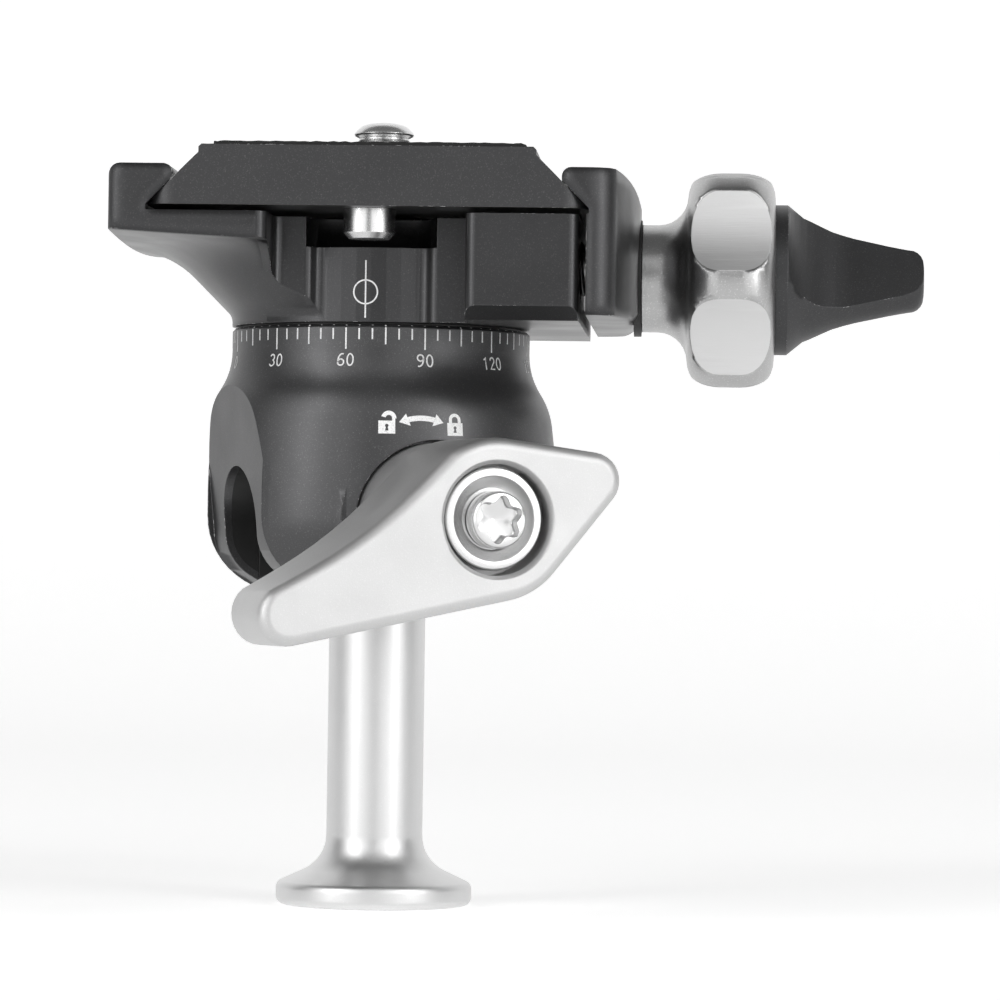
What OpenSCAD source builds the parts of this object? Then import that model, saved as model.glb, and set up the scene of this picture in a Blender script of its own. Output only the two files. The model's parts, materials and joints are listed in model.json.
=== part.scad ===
// Compact inverted tripod ball head: a stem with a ball on top, a housing that turns on
// the ball, a lock lever, a panning clamp with a scale, and a dovetail plate.
// Millimetres, +Z up. The origin is the middle of the foot's underside, and the clamp's
// front looks along -Y.

/* [Stem and foot] */
// Diameter of the foot
foot_d = 17.5; // [16:0.5:24]
// Height at which the foot's upright edge ends
foot_edge_h = 1.5; // [1:0.1:2.5]
// Rounding of the foot's edge
foot_round = 0.7; // [0.3:0.1:0.9]
// Radius of the sweep from the foot into the stem
foot_sweep_r = 3.5; // [2:0.25:5]
// Diameter of the stem
stem_d = 8.6; // [7:0.1:8.8]
// Minor diameter of the 1/4 in base thread
base_bore_d = 5.1; // [4.9:0.1:5.5]
// Depth of the base thread
base_bore_h = 8.5; // [6:0.5:10]

/* [Ball] */
// Height of the ball's centre above the foot's underside
ball_z = 34.3; // [32:0.1:44]
// Diameter of the ball
ball_d = 18.5; // [18:0.1:19]
// Diameter of the stud between ball and stem
ball_stud_d = 5; // [4:0.25:5.5]
// Length of the stud on each side of the ball's flat
ball_stud_reach = 7; // [5:0.5:8]

/* [Housing] */
// Wall of the housing's body outside the ball chamber
housing_wall = 5; // [4.5:0.1:5.6]
// Step from the body in to the neck that carries the scale
neck_step = 2.5; // [2.2:0.1:2.8]
// Height of the housing's top above the ball's centre
housing_rise = 17; // [16.8:0.1:19]
// Depth of the open mouth below the ball's centre
mouth_drop = 6.4; // [5.8:0.1:6.8]
// Rounding of the bowl at the bottom of the housing
bowl_round = 7.3; // [6:0.1:8]
// Side tilt that the mouth leaves room for, in degrees
side_tilt = 35; // [25:1:36]
// Width of the drop slot
slot_w = 9.4; // [9.2:0.1:10.4]
// Direction of the drop slot, in degrees from the front
slot_az = -67; // [-75:1:-60]
// Depth of the flat round the slot below the body's side
slot_flat_depth = 2.9; // [2.6:0.1:3.2]
// Width of the flat round the slot
slot_flat_w = 16.2; // [14:0.2:17]

/* [Lock lever] */
// Direction of the lock lever, in degrees from the front
lever_az = 23; // [15:1:30]
// Depth of the lever's seat below the body's side
lever_seat_depth = 2; // [1.6:0.1:2.3]
// Height of the lever's front above its seat
lever_reach = 17.2; // [16.2:0.2:20]
// Radius of the lever round its screw
lever_hub_r = 6.9; // [6.5:0.1:7.2]
// Thickness of the lever's arm beside its hub
lever_arm_h = 11.6; // [9:0.2:12]
// Length from the screw to the middle of the arm's round end
lever_arm_l = 19.9; // [17:0.1:24]
// Radius of the arm's round end
lever_arm_r = 2.6; // [2:0.1:3.2]
// Length from the screw to the middle of the tail's round end
lever_tail_l = 9.4; // [8:0.1:10]
// Radius of the tail's round end
lever_tail_r = 2.4; // [1.8:0.1:2.6]
// Rounding of the lever's front edge
lever_round = 1; // [0.5:0.1:1.4]
// Diameter of the recess in the lever's front
lever_recess_d = 9.4; // [9.2:0.1:10.4]
// Diameter of the lock screw
spindle_d = 6; // [5:0.5:6.5]

/* [Clamp] */
// Height of the clamp's underside above the housing's top
pan_gap = 0.2; // [0.1:0.05:0.4]
// Height of the clamp's deck above its underside
deck_h = 9.1; // [9:0.1:11]
// Length of clamp, jaw and plate from front to back
clamp_l = 40; // [36:1:50]
// Width of the dovetail at its widest
dovetail_w = 38; // [37:0.5:39.5]
// Width of the fixed jaw outside the dovetail
fixed_jaw_w = 3.3; // [2.6:0.1:4]
// Height of both jaws above the deck
jaw_rise = 4; // [3.6:0.1:4.4]
// Diameter of the pan post
pan_post_d = 10; // [9:0.5:11]
// Height of the clamp knob's axis above the clamp's underside
knob_axis_h = 4.8; // [4.6:0.1:5.4]

/* [Moving jaw and knob] */
// Thickness of the moving jaw at its ends
jaw_t = 2.45; // [2.3:0.05:3]
// Extra thickness of the moving jaw at its middle
jaw_swell = 1.9; // [1.2:0.1:2.4]
// Opening travel of the moving jaw
jaw_travel = 4; // [3:0.25:4.2]
// Diameter of the clamp stud
stud_d = 6; // [5:0.5:6.5]
// Diameter of the knob's neck
knob_neck_d = 9.6; // [9.4:0.1:10.4]
// Diameter of the knob's head
knob_head_d = 20.4; // [18:0.1:20.6]
// Length of the knob's head
knob_head_l = 7.8; // [7:0.1:9]
// Number of finger hollows round the knob
hollow_count = 6; // [5:1:7]
// Depth of each finger hollow
hollow_depth = 1.6; // [0.8:0.1:2]
// Length of the wing
wing_l = 13.25; // [11:0.25:16]
// Diameter of the wing's base
wing_base_d = 13.4; // [12:0.1:15]
// Thickness of the wing's blade
wing_blade_t = 2.7; // [2:0.1:3.4]

/* [Plate and camera screw] */
// Thickness of the dovetail plate
plate_h = 5.2; // [4.9:0.1:6]
// Height of the sloping flanks of the plate
flank_h = 4.5; // [4.1:0.1:4.6]
// Rounding of the plate's upright corners
plate_corner_r = 2.4; // [1.5:0.1:4]
// Thickness of the rubber pad
pad_t = 0.9; // [0.8:0.05:1.2]
// Height of the pad above the plate's top
pad_proud = 0.5; // [0.3:0.05:0.7]
// Travel of the plate each way between its stop pins
plate_travel = 3; // [1:0.25:4]
// Diameter of the stop pins
stop_pin_d = 4.5; // [4:0.1:5]
// Length of the stop pins below the plate
stop_pin_h = 2.6; // [2:0.1:2.8]
// Diameter of the camera screw
camera_screw_d = 6.2; // [6:0.05:6.35]
// Height of the camera screw above the pad
camera_screw_rise = 3.2; // [2:0.1:5]

/* [Hidden] */

$fn = 64;
// Overrun of every cut past the face that it opens
over = 1;
// Radial clearance between a turning or sliding piece and its seat
running = 0.06;
// Clearance between pieces fixed together
fitted = 0.02;
// Gap between end faces that pass each other
face_gap = 0.1;
// Radial play of a bore that a bar only passes through
loose = 0.24;
// Radial play round the piston and in the thrust washer
free = 0.12;

// Foot and stem
foot_r = foot_d / 2;
stem_r = stem_d / 2;
foot_slope = 25;
base_bore_r = base_bore_d / 2;
stem_edge = 0.25;
ball_r = ball_d / 2;
flat_margin = 0.2;
stem_top = ball_z - sqrt(pow(ball_r, 2) - pow(stem_r + flat_margin, 2));
stud_r = ball_stud_d / 2;
stud_edge = 0.4;

// Ball chamber
seat_wall = 1.5;
chamber_r = ball_r + running + seat_wall;
seat_floor_drop = 5.1;
seat_floor_z = ball_z - seat_floor_drop;
seat_top_drop = 0.4;
swing_clear = 0.3;
mouth_z = ball_z - mouth_drop;
function mouth_r(drop) = (stem_r + swing_clear + drop * sin(side_tilt)) / cos(side_tilt);
cup_drop = 6.2;
cup_h = 5.1;
cup_hole_r = 3.5;
cup_z = ball_z + cup_drop;
cup_top_z = cup_z + cup_h;
spring_h = 1;
spring_t = 0.5;
spring_in_r = 4;
spring_out_r = 9;

// Housing
housing_r = chamber_r + housing_wall;
neck_r = housing_r - neck_step;
slot_flat = housing_r - slot_flat_depth;
lever_seat = housing_r - lever_seat_depth;
lever_front = lever_seat + lever_reach;
housing_top_z = ball_z + housing_rise;
bowl_lift = 0.3;
side_h = 2.4;
side_curve_r = 45;
side_lean = 7.6;
shoulder_r = 7;
shoulder_slope = 33;
neck_edge = 0.25;
slot_r = slot_w / 2;
flat_draft = 5.5;
flat_top = 14;
flat_fill_top = 3;
flat_round = 4.6;
flat_bend_drop = 1;
flat_base_slope = 30;
flat_sink = 2.8;
flat_inner = chamber_r - flat_sink;
lever_hub_step = 0.2;
lever_hub_seat_r = lever_hub_r - lever_hub_step;
lever_spot_gap = 0.25;
lever_spot_r = lever_hub_seat_r + lever_spot_gap;
lever_boss_wall = 1.2;
lever_boss_r = lever_spot_r + lever_boss_wall;
boss_sink = 2.3;
boss_inner = chamber_r - boss_sink;

// Pan cap and bearing
bearing_h = 0.65;
bearing_lip = 0.7;
bearing_w = 3.2;
bearing_out_r = neck_r - bearing_lip;
bearing_in_r = bearing_out_r - bearing_w;
bearing_z = housing_top_z + pan_gap - bearing_h;
cap_z = cup_top_z + spring_h;
cap_top_z = bearing_z;
post_r = pan_post_d / 2;
clamp_z = housing_top_z + pan_gap;
deck_z = clamp_z + deck_h;
pan_recess_h = 3.3;
pan_recess_r = 7.3;
washer_t = 0.8;
post_top_z = deck_z - pan_recess_h + running;
pan_washer_r = 7;
pan_screw_r = 2.5;
pan_screw_l = 9;
pan_head_r = 4.5;
pan_head_h = 1.6;
pan_socket_r = 1.6;
pan_socket_floor = 0.5;
spanner_r = 0.9;
spanner_h = 1.5;
spanner_at = 8;

// Lock screw train, as distances from the ball's centre
bush_r = 6;
bush_inner = chamber_r + face_gap;
bush_nose_r = 5;
bush_nose_l = 6.7;
bush_nose_end = lever_seat + bush_nose_l;
piston_r = 4.2;
piston_sink = 1;
piston_t = 1.7;
piston_back = lever_seat - piston_sink;
piston_front = piston_back - piston_t;
piston_spigot_r = 1.6;
piston_spigot_h = 0.7;
spindle_r = spindle_d / 2;
spindle_tip = piston_back + face_gap;
spindle_edge = 0.4;
lever_recess_h = 3.5;
lever_floor = lever_front - lever_recess_h;
spindle_short = 1.5;
spindle_end = lever_floor - spindle_short;
lever_screw_r = 2;
lever_screw_l = 6.3;
lever_head_r = 2.45;
lever_head_h = 1.9;
lever_socket_r = 1.75;
lever_socket_h = 1.3;
washer_room = 0.35;
cup_washer_r = lever_recess_d / 2 - washer_room;
cup_washer_h = 3.3;
cup_dish_r = 3.5;
cup_floor_t = 2.2;
recess_bevel = 0.35;

// Lever outline, seen from outside with the screw at the middle
lever_arm_angle = 204.2;
lever_tail_angle = 21.5;
lever_waist = 1;
lever_back_slope = 0.2;
lever_back_round = 0.5;
arm_centre = lever_arm_l * [cos(lever_arm_angle), sin(lever_arm_angle)];
tail_centre = lever_tail_l * [cos(lever_tail_angle), sin(lever_tail_angle)];

// Clamp
clamp_half = clamp_l / 2;
neck_match = 0.05;
clamp_neck_r = neck_r + neck_match;
dovetail_half = dovetail_w / 2;
plate_lift = 0.5;
plate_z = deck_z + plate_lift;
jaw_top_z = deck_z + jaw_rise;
dovetail_gap = 0.05;
jaw_lip_round = 0.8;
jaw_outer_round = 1.1;
fixed_jaw_x = -dovetail_half - fixed_jaw_w;
jaw_lip_flat = 0.35;
lip_x = dovetail_half + dovetail_gap - (jaw_rise - plate_lift - jaw_lip_round - jaw_lip_flat);
block_inset = 0.8;
block_x = dovetail_half - block_inset;
block_in_x = 8.5;
wing_in_x = 8.6;
tab_half = 5.2;
cove_back_y = 13.5;
plan_round = 0.9;
end_round = 3;
end_turn = 55;
block_bevel = 1.2;
pin_bay_half = 5.7;
pin_bay_round = 2;
pin_bay_h = 2.6;
flare_start = 0.4;
flare_bend_r = 1.2;
flare_slope = 45;
flare_run = 3.1;
flare_turn_r = 8.5;
flare_end_slope = 5;
knob_z = clamp_z + knob_axis_h;
stud_r_m = stud_d / 2;
stud_in_x = 9;

// Moving jaw
jaw_gap = 0.65;
jaw_in_x = block_x + jaw_gap;
jaw_end_x = jaw_in_x + jaw_t;
jaw_mid_x = jaw_end_x + jaw_swell;
jaw_lift = 0.5;
jaw_z = clamp_z + jaw_lift;
jaw_shoulder_r = 2.4;
jaw_foot_r = 1.5;
guide_at = 12;
guide_r = 1.5;
guide_reach = 7.85;
guide_skin = 0.4;
guide_room = 0.3;
guide_in_x = jaw_in_x - guide_reach;
guide_out_x = jaw_end_x - guide_skin;
spring_bore_r = 2.6;
spring_bore_in = 4;
spring_bore_out = 1;
coil_r = 2.05;
wire_r = 0.25;
coil_turns = 5;
coil_steps = 12;
wire_sides = 6;
thrust_r = 5.2;
thrust_t = 0.65;
thrust_bed = 0.55;

// Knob and wing
knob_in_x = jaw_mid_x - thrust_bed + thrust_t + face_gap / 2;
knob_neck_r = knob_neck_d / 2;
knob_head_r = knob_head_d / 2;
knob_head_round = 3;
knob_sweep_r = 2.6;
knob_neck_l = 4;
knob_head_x = knob_in_x + knob_neck_l;
knob_end_x = knob_head_x + knob_head_l;
hollow_r = 10.4;
hollow_phase = 6;
knob_bush_r = 4.2;
knob_bush_l = 4;
knob_bush_sink = 0.6;
knob_bush_x = knob_in_x + knob_bush_sink;
knob_bush_end_x = knob_bush_x + knob_bush_l;
circlip_gap = 0.2;
circlip_x = knob_bush_end_x + jaw_travel + circlip_gap;
circlip_t = 0.6;
circlip_r = 4;
circlip_groove = 0.5;
stud_tail = 0.6;
stud_end_x = circlip_x + circlip_t + stud_tail;
knob_cavity_r = 4.4;
spigot_l = 1;
wing_base_r = wing_base_d / 2;
wing_rim_l = 1.1;
wing_dish_r = 6;
wing_tip_r = 2.8;
wing_tip_round = 1.3;
wing_lip_l = 2;
wing_lip_h = 0.35;
wing_roll = 33;
// Radius of the wing along its length, as shares of the fall from base to tip
wing_taper_shares = [[0.19, 0.70], [0.38, 0.44], [0.55, 0.275], [0.76, 0.1], [0.9, 0]];

// Plate and screw
plate_top_z = plate_z + plate_h;
plate_end_half = dovetail_half - flank_h;
pad_top_z = plate_top_z + pad_proud;
pad_margin = 0.9;
pad_end_margin = 1.4;
pad_fit = 0.1;
pad_corner_r = 1.6;
screw_r = camera_screw_d / 2;
shank_step = 0.2;
screw_play = 0.25;
screw_shank_r = screw_r - shank_step;
screw_hole_r = screw_r + screw_play;
head_recess_r = 6.6;
head_recess_h = 3.3;
screw_head_r = 6.2;
screw_head_h = 2.5;
coin_slot_w = 1.4;
coin_slot_h = 1.2;
clip_t = 0.5;
clip_sink = 0.2;
clip_groove = 0.4;
clip_reach = 1.3;
clip_room = 0.4;
clip_floor_gap = 0.15;
clip_z = plate_top_z + pad_proud - pad_t - clip_t - clip_sink;
clip_in_r = screw_r - clip_groove;
clip_out_r = screw_r + clip_reach;
clip_bay_r = clip_out_r + clip_room;
clip_bay_floor_z = clip_z - clip_floor_gap;
screw_thread_z = pad_top_z + face_gap / 2;
screw_top_z = pad_top_z + camera_screw_rise;
screw_tip = 0.7;
stop_inset = 4;
stop_at = clamp_half - stop_inset;
stop_shank_r = 1.5;
stop_shank_l = 3;
stop_r = stop_pin_d / 2;
stop_edge = 0.5;
stop_room = 0.25;
bay_back_y = stop_at - stop_r - plate_travel - stop_room;

// Points on an arc round c, radius r, from angle a to angle b
function arc(c, r, a, b, n = 8) =
    [for (i = [0:n]) c + r * [cos(a + (b - a) * i / n), sin(a + (b - a) * i / n)]];

// Direction of the outward normal of the belt line from circle one to circle two,
// walked anticlockwise
function belt_angle(c1, r1, c2, r2) =
    let (d = c2 - c1) atan2(d[1], d[0]) - 90 + asin((r1 - r2) / norm(d));

// Frame of the lock lever: X right and Y up as seen from outside, Z outwards
module lever_frame() translate([0, 0, ball_z]) rotate([0, 0, lever_az])
    rotate([90, 0, 0]) children();

// Frame of the drop slot, laid out like the lever's
module slot_frame() translate([0, 0, ball_z]) rotate([0, 0, slot_az])
    rotate([90, 0, 0]) children();

// Frame of the clamp knob: Z along +X of the head
module knob_frame() translate([0, 0, knob_z]) rotate([0, 90, 0]) children();

// Disc or tube between two heights
module tube(r, z0, z1, bore = 0) translate([0, 0, z0]) difference() {
    cylinder(h = z1 - z0, r = r);
    if (bore > 0) translate([0, 0, -over]) cylinder(h = z1 - z0 + 2 * over, r = bore);
}

// Round bar between two heights with bevelled ends
module rod(r, z0, z1, edge) rotate_extrude()
    polygon([[0, z0], [r - edge, z0], [r, z0 + edge], [r, z1 - edge], [r - edge, z1], [0, z1]]);

// Extrusion along Y of an outline drawn in X and Z
module along_y(length) translate([0, length / 2, 0]) rotate([90, 0, 0])
    linear_extrude(height = length) children();

// Rectangle with rounded corners about the middle
module rounded_plan(w, l, r) offset(r = r) square([w - 2 * r, l - 2 * r], center = true);

// STEM GROUP
foot_lip = [foot_r - foot_round, foot_edge_h] + foot_round * [sin(foot_slope), cos(foot_slope)];
sweep_r_at = stem_r + foot_sweep_r * (1 - sin(foot_slope));
sweep_z = foot_lip[1] + (foot_lip[0] - sweep_r_at) * tan(foot_slope)
    + foot_sweep_r * cos(foot_slope);
stem_outline = concat(
    [[0, 0]],
    arc([foot_r - foot_round, foot_round], foot_round, -90, 0, 5),
    arc([foot_r - foot_round, foot_edge_h], foot_round, 0, 90 - foot_slope, 5),
    arc([stem_r + foot_sweep_r, sweep_z], foot_sweep_r, 270 - foot_slope, 180, 8),
    [[stem_r, stem_top - stem_edge], [stem_r - stem_edge, stem_top], [0, stem_top]]);

module stem() color("silver") difference() {
    rotate_extrude() polygon(stem_outline);
    translate([0, 0, -over]) cylinder(h = base_bore_h + over, r = base_bore_r);
    translate([0, 0, stem_top - ball_stud_reach]) cylinder(h = ball_stud_reach + over, r = stud_r);
}

module ball() color("dimgray") difference() {
    translate([0, 0, ball_z]) sphere(r = ball_r);
    translate([0, 0, stem_top - ball_r]) cylinder(h = ball_r, r = ball_r);
    translate([0, 0, stem_top - over]) cylinder(h = ball_stud_reach + over, r = stud_r);
}

module ball_stud() color("gray")
    rod(stud_r - fitted, stem_top - ball_stud_reach, stem_top + ball_stud_reach, stud_edge);

// LOCK PISTON GROUP
module lock_piston() color("gray") lever_frame() {
    tube(piston_r, piston_front, piston_back);
    tube(piston_spigot_r, piston_front - piston_spigot_h, piston_front);
}

module brake_pad() color("ivory") lever_frame() difference() {
    tube(piston_r, 0, piston_front);
    sphere(r = ball_r + running);
    tube(piston_spigot_r + fitted, piston_front - piston_spigot_h, piston_front + over);
}

// HOUSING GROUP
bowl_centre = [housing_r - bowl_round, ball_z + bowl_lift];
side_top_z = bowl_centre[1] + side_h;
side_end = [housing_r - side_curve_r, side_top_z]
    + side_curve_r * [cos(side_lean), sin(side_lean)];
shoulder_centre = side_end - shoulder_r * [cos(side_lean), sin(side_lean)];
shoulder_end = shoulder_centre + shoulder_r * [cos(shoulder_slope), sin(shoulder_slope)];
waist_r = (shoulder_end[0] - neck_r) / (1 - cos(shoulder_slope));
waist_centre = shoulder_end + waist_r * [cos(shoulder_slope), sin(shoulder_slope)];
housing_outline = concat(
    [[0, mouth_z]],
    arc(bowl_centre, bowl_round, asin((mouth_z - bowl_centre[1]) / bowl_round), 0, 10),
    arc([housing_r - side_curve_r, side_top_z], side_curve_r, 0, side_lean, 4),
    arc(shoulder_centre, shoulder_r, side_lean, shoulder_slope, 6),
    arc(waist_centre, waist_r, 180 + shoulder_slope, 180, 6),
    [[neck_r, housing_top_z - neck_edge], [neck_r - neck_edge, housing_top_z],
     [0, housing_top_z]]);

// Face round the drop slot as distance from the ball's centre against height above it
flat_bend = [slot_flat - flat_round, -flat_bend_drop];
flat_foot = flat_bend + flat_round * [sin(flat_base_slope), -cos(flat_base_slope)];
function flat_line(height) =
    slot_flat + (height - flat_bend[1]) * tan(flat_draft);
slot_face = concat(
    [[flat_foot[0] - (mouth_drop + flat_foot[1]) / tan(flat_base_slope), -mouth_drop]],
    arc(flat_bend, flat_round, flat_base_slope - 90, 0, 8));

module along_slot_width(width) rotate([0, -90, 0])
    translate([0, 0, -width / 2]) linear_extrude(height = width) children();

module slot_shape(r, z0, z1) {
    tube(r, z0, z1);
    translate([-r, -2 * housing_r, z0]) cube([2 * r, 2 * housing_r, z1 - z0]);
}

module housing_shell() {
    difference() {
        rotate_extrude() polygon(housing_outline);
        slot_frame() along_slot_width(slot_flat_w)
            polygon(concat([[2 * housing_r, -mouth_drop - over],
                [slot_face[0][0], -mouth_drop - over]], slot_face,
                [[flat_line(flat_top), flat_top], [2 * housing_r, flat_top]]));
    }
    slot_frame() along_slot_width(slot_flat_w)
        polygon(concat(slot_face, [[flat_line(flat_fill_top), flat_fill_top],
            [flat_inner, flat_fill_top], [flat_inner, -mouth_drop]]));
    lever_frame() tube(lever_boss_r, boss_inner, lever_seat);
}

module housing() color("dimgray") difference() {
    housing_shell();
    rotate_extrude() polygon([
        [0, mouth_z - lever_boss_r], [mouth_r(mouth_drop + lever_boss_r), mouth_z - lever_boss_r],
        [mouth_r(seat_floor_drop), seat_floor_z], [chamber_r, seat_floor_z],
        [chamber_r, housing_top_z + over], [0, housing_top_z + over]]);
    tube(bearing_out_r + running, bearing_z, housing_top_z + over);
    slot_frame() slot_shape(slot_r, ball_r / 2, 2 * housing_r);
    lever_frame() {
        tube(lever_spot_r, lever_seat, 2 * housing_r);
        tube(bush_r, ball_r / 2, lever_seat + over);
    }
}

module lower_seat() color([0.12, 0.12, 0.12]) difference() {
    tube(chamber_r - fitted, seat_floor_z, ball_z - seat_top_drop);
    translate([0, 0, ball_z]) sphere(r = ball_r + running);
    rotate_extrude() polygon([
        [0, seat_floor_z - over], [mouth_r(seat_floor_drop + over), seat_floor_z - over],
        [mouth_r(0), ball_z], [0, ball_z]]);
    slot_frame() slot_shape(slot_r, ball_r / 2, 2 * housing_r);
    lever_frame() tube(piston_r + free, ball_r / 2, 2 * housing_r);
}

module ball_cup() color([0.12, 0.12, 0.12]) difference() {
    tube(chamber_r - running, cup_z, cup_top_z);
    translate([0, 0, ball_z]) sphere(r = ball_r + running);
    translate([0, 0, cup_z - over]) cylinder(h = cup_h + 2 * over, r = cup_hole_r);
}

module cup_spring() color("gray") rotate_extrude()
    polygon([[spring_in_r, cap_z - spring_t], [spring_out_r, cup_top_z],
        [spring_out_r, cup_top_z + spring_t], [spring_in_r, cap_z]]);

module housing_cap() color("dimgray") difference() {
    union() {
        tube(chamber_r - fitted, cap_z, cap_top_z);
        tube(post_r, cap_z, post_top_z);
    }
    translate([0, 0, post_top_z - pan_screw_l]) cylinder(h = pan_screw_l + over, r = pan_screw_r);
    for (side = [-1, 1]) translate([side * spanner_at, 0, cap_top_z - spanner_h])
        cylinder(h = spanner_h + over, r = spanner_r);
}

module lock_bush() color("goldenrod") lever_frame() difference() {
    union() {
        tube(bush_r - fitted, bush_inner, lever_seat);
        tube(bush_nose_r, bush_inner, bush_nose_end);
    }
    tube(piston_r + running, bush_inner - over, piston_back + face_gap);
    tube(spindle_r + running, bush_inner, bush_nose_end + over);
}

module pan_screw() color("silver") difference() {
    union() {
        rod(pan_screw_r - fitted, post_top_z - pan_screw_l, post_top_z + washer_t, stud_edge);
        tube(pan_head_r, post_top_z + washer_t, post_top_z + washer_t + pan_head_h);
    }
    translate([0, 0, post_top_z + washer_t + pan_socket_floor])
        cylinder(h = pan_head_h, r = pan_socket_r, $fn = 6);
}

module pan_washer() color("silver")
    tube(pan_washer_r, post_top_z, post_top_z + washer_t, pan_screw_r + fitted);

// LOCK LEVER GROUP
to_tail_top = belt_angle(tail_centre, lever_tail_r, [0, 0], lever_hub_r);
to_arm_top = belt_angle([0, 0], lever_hub_r, arm_centre, lever_arm_r);
to_arm_low = belt_angle(arm_centre, lever_arm_r, [0, 0], lever_hub_r);
to_tail_low = belt_angle([0, 0], lever_hub_r, tail_centre, lever_tail_r);

// Hollow edge between two points, bowed inwards by the given depth
function bowed(a, b, depth, n) =
    let (d = (b - a) / norm(b - a), inward = [-d[1], d[0]])
    [for (i = [1:n - 1]) a + (b - a) * i / n + inward * depth * sin(180 * i / n)];

// Lever outline drawn in by the given inset
function lever_ring(inset) =
    let (hub = lever_hub_r - inset, arm = lever_arm_r - inset, tail = lever_tail_r - inset,
        low_start = to_tail_low - 360,
        hub_end = [hub * cos(to_arm_top), hub * sin(to_arm_top)],
        arm_start = arm_centre + arm * [cos(to_arm_top), sin(to_arm_top)])
    concat(
        arc(tail_centre, tail, low_start, to_tail_top, 10),
        arc([0, 0], hub, to_tail_top, to_arm_top, 6),
        bowed(hub_end, arm_start, lever_waist, 10),
        arc(arm_centre, arm, to_arm_top, to_arm_low, 12),
        arc([0, 0], hub, to_arm_low, to_tail_low, 10));

// Solid through rings of equal count, each ring closed by a fan round its own middle
module ring_loft(rings, low_mid, high_mid) {
    n = len(rings[0]);
    last = (len(rings) - 1) * n;
    points = concat([for (ring = rings) each ring], [low_mid, high_mid]);
    sides = [for (k = [0:len(rings) - 2], i = [0:n - 1])
        each [[k * n + i, (k + 1) * n + i, (k + 1) * n + (i + 1) % n],
              [k * n + i, (k + 1) * n + (i + 1) % n, k * n + (i + 1) % n]]];
    low = [for (i = [0:n - 1]) [len(points) - 2, i, (i + 1) % n]];
    high = [for (i = [0:n - 1]) [len(points) - 1, last + (i + 1) % n, last + i]];
    polyhedron(points = points, faces = concat(sides, low, high), convexity = 4);
}

function lever_back(p) = lever_front - lever_arm_h
    + lever_back_slope * max(0, norm(p) - lever_hub_r);
function lever_back_ring(inset, lift) =
    [for (p = lever_ring(inset)) [p[0], p[1], lever_back(p) + lift]];
function lever_front_ring(inset, height) =
    [for (p = lever_ring(inset)) [p[0], p[1], height]];
lever_rings = concat(
    [for (a = [0:45:90]) lever_back_ring(lever_back_round * (1 - sin(a)),
        lever_back_round * (1 - cos(a)))],
    [for (a = [0:22.5:90]) lever_front_ring(lever_round * (1 - cos(a)),
        lever_front - lever_round * (1 - sin(a)))]);

module lock_lever() color("silver") lever_frame() difference() {
    union() {
        ring_loft(lever_rings, [0, 0, lever_front - lever_arm_h], [0, 0, lever_front]);
        tube(lever_hub_seat_r, lever_seat + face_gap, lever_front - lever_arm_h + over);
    }
    tube(bush_nose_r + running, lever_seat - over, bush_nose_end + face_gap);
    tube(spindle_r + fitted, lever_seat, lever_front);
    tube(lever_recess_d / 2, lever_floor, lever_front + over);
    rotate_extrude() polygon([[0, lever_front - recess_bevel],
        [lever_recess_d / 2, lever_front - recess_bevel],
        [lever_recess_d / 2 + recess_bevel + over, lever_front + over], [0, lever_front + over]]);
}

module lock_spindle() color("gray") lever_frame() difference() {
    rod(spindle_r, spindle_tip, spindle_end, spindle_edge);
    tube(lever_screw_r, spindle_end - lever_screw_l, spindle_end + over);
}

module lever_washer() color("silver") lever_frame() translate([0, 0, lever_floor]) difference() {
    rotate_extrude() polygon([[0, 0], [cup_washer_r, 0],
        [cup_washer_r, cup_washer_h - recess_bevel],
        [cup_washer_r - recess_bevel, cup_washer_h], [0, cup_washer_h]]);
    rotate_extrude() polygon([[0, cup_floor_t], [lever_head_r, cup_floor_t],
        [cup_dish_r, cup_washer_h], [cup_dish_r, cup_washer_h + over],
        [0, cup_washer_h + over]]);
    translate([0, 0, -over]) cylinder(h = cup_washer_h, r = lever_screw_r + fitted);
}

module lever_screw() color("silver") lever_frame() difference() {
    union() {
        rod(lever_screw_r - fitted, spindle_end - lever_screw_l, lever_floor + cup_floor_t,
            stud_edge);
        translate([0, 0, lever_floor + cup_floor_t]) rotate_extrude() polygon([
            [0, 0], [lever_head_r - fitted, 0],
            [lever_head_r - fitted, lever_head_h - stud_edge],
            [lever_head_r - stud_edge, lever_head_h], [0, lever_head_h]]);
    }
    translate([0, 0, lever_floor + cup_floor_t + lever_head_h - lever_socket_h])
        cylinder(h = lever_socket_h + over, r = lever_socket_r, $fn = 6);
}

// CLAMP GROUP
flare_low = [clamp_neck_r + flare_bend_r, clamp_z + flare_start];
flare_a = flare_low + flare_bend_r * [-cos(flare_slope), sin(flare_slope)];
flare_b = flare_a + flare_run * [1, tan(flare_slope)];
flare_mid = flare_b + flare_turn_r * [sin(flare_slope), -cos(flare_slope)];
flare_c = flare_mid + flare_turn_r * [-sin(flare_end_slope), cos(flare_end_slope)];
flare_reach = 2 * clamp_half;
clamp_turned = concat(
    [[0, clamp_z], [clamp_neck_r, clamp_z]],
    arc(flare_low, flare_bend_r, 180, 180 - flare_slope, 4),
    arc(flare_mid, flare_turn_r, 90 + flare_slope, 90 + flare_end_slope, 8),
    [[flare_reach, flare_c[1] + (flare_reach - flare_c[0]) * tan(flare_end_slope)],
     [flare_reach, jaw_top_z + over], [0, jaw_top_z + over]]);

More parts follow.
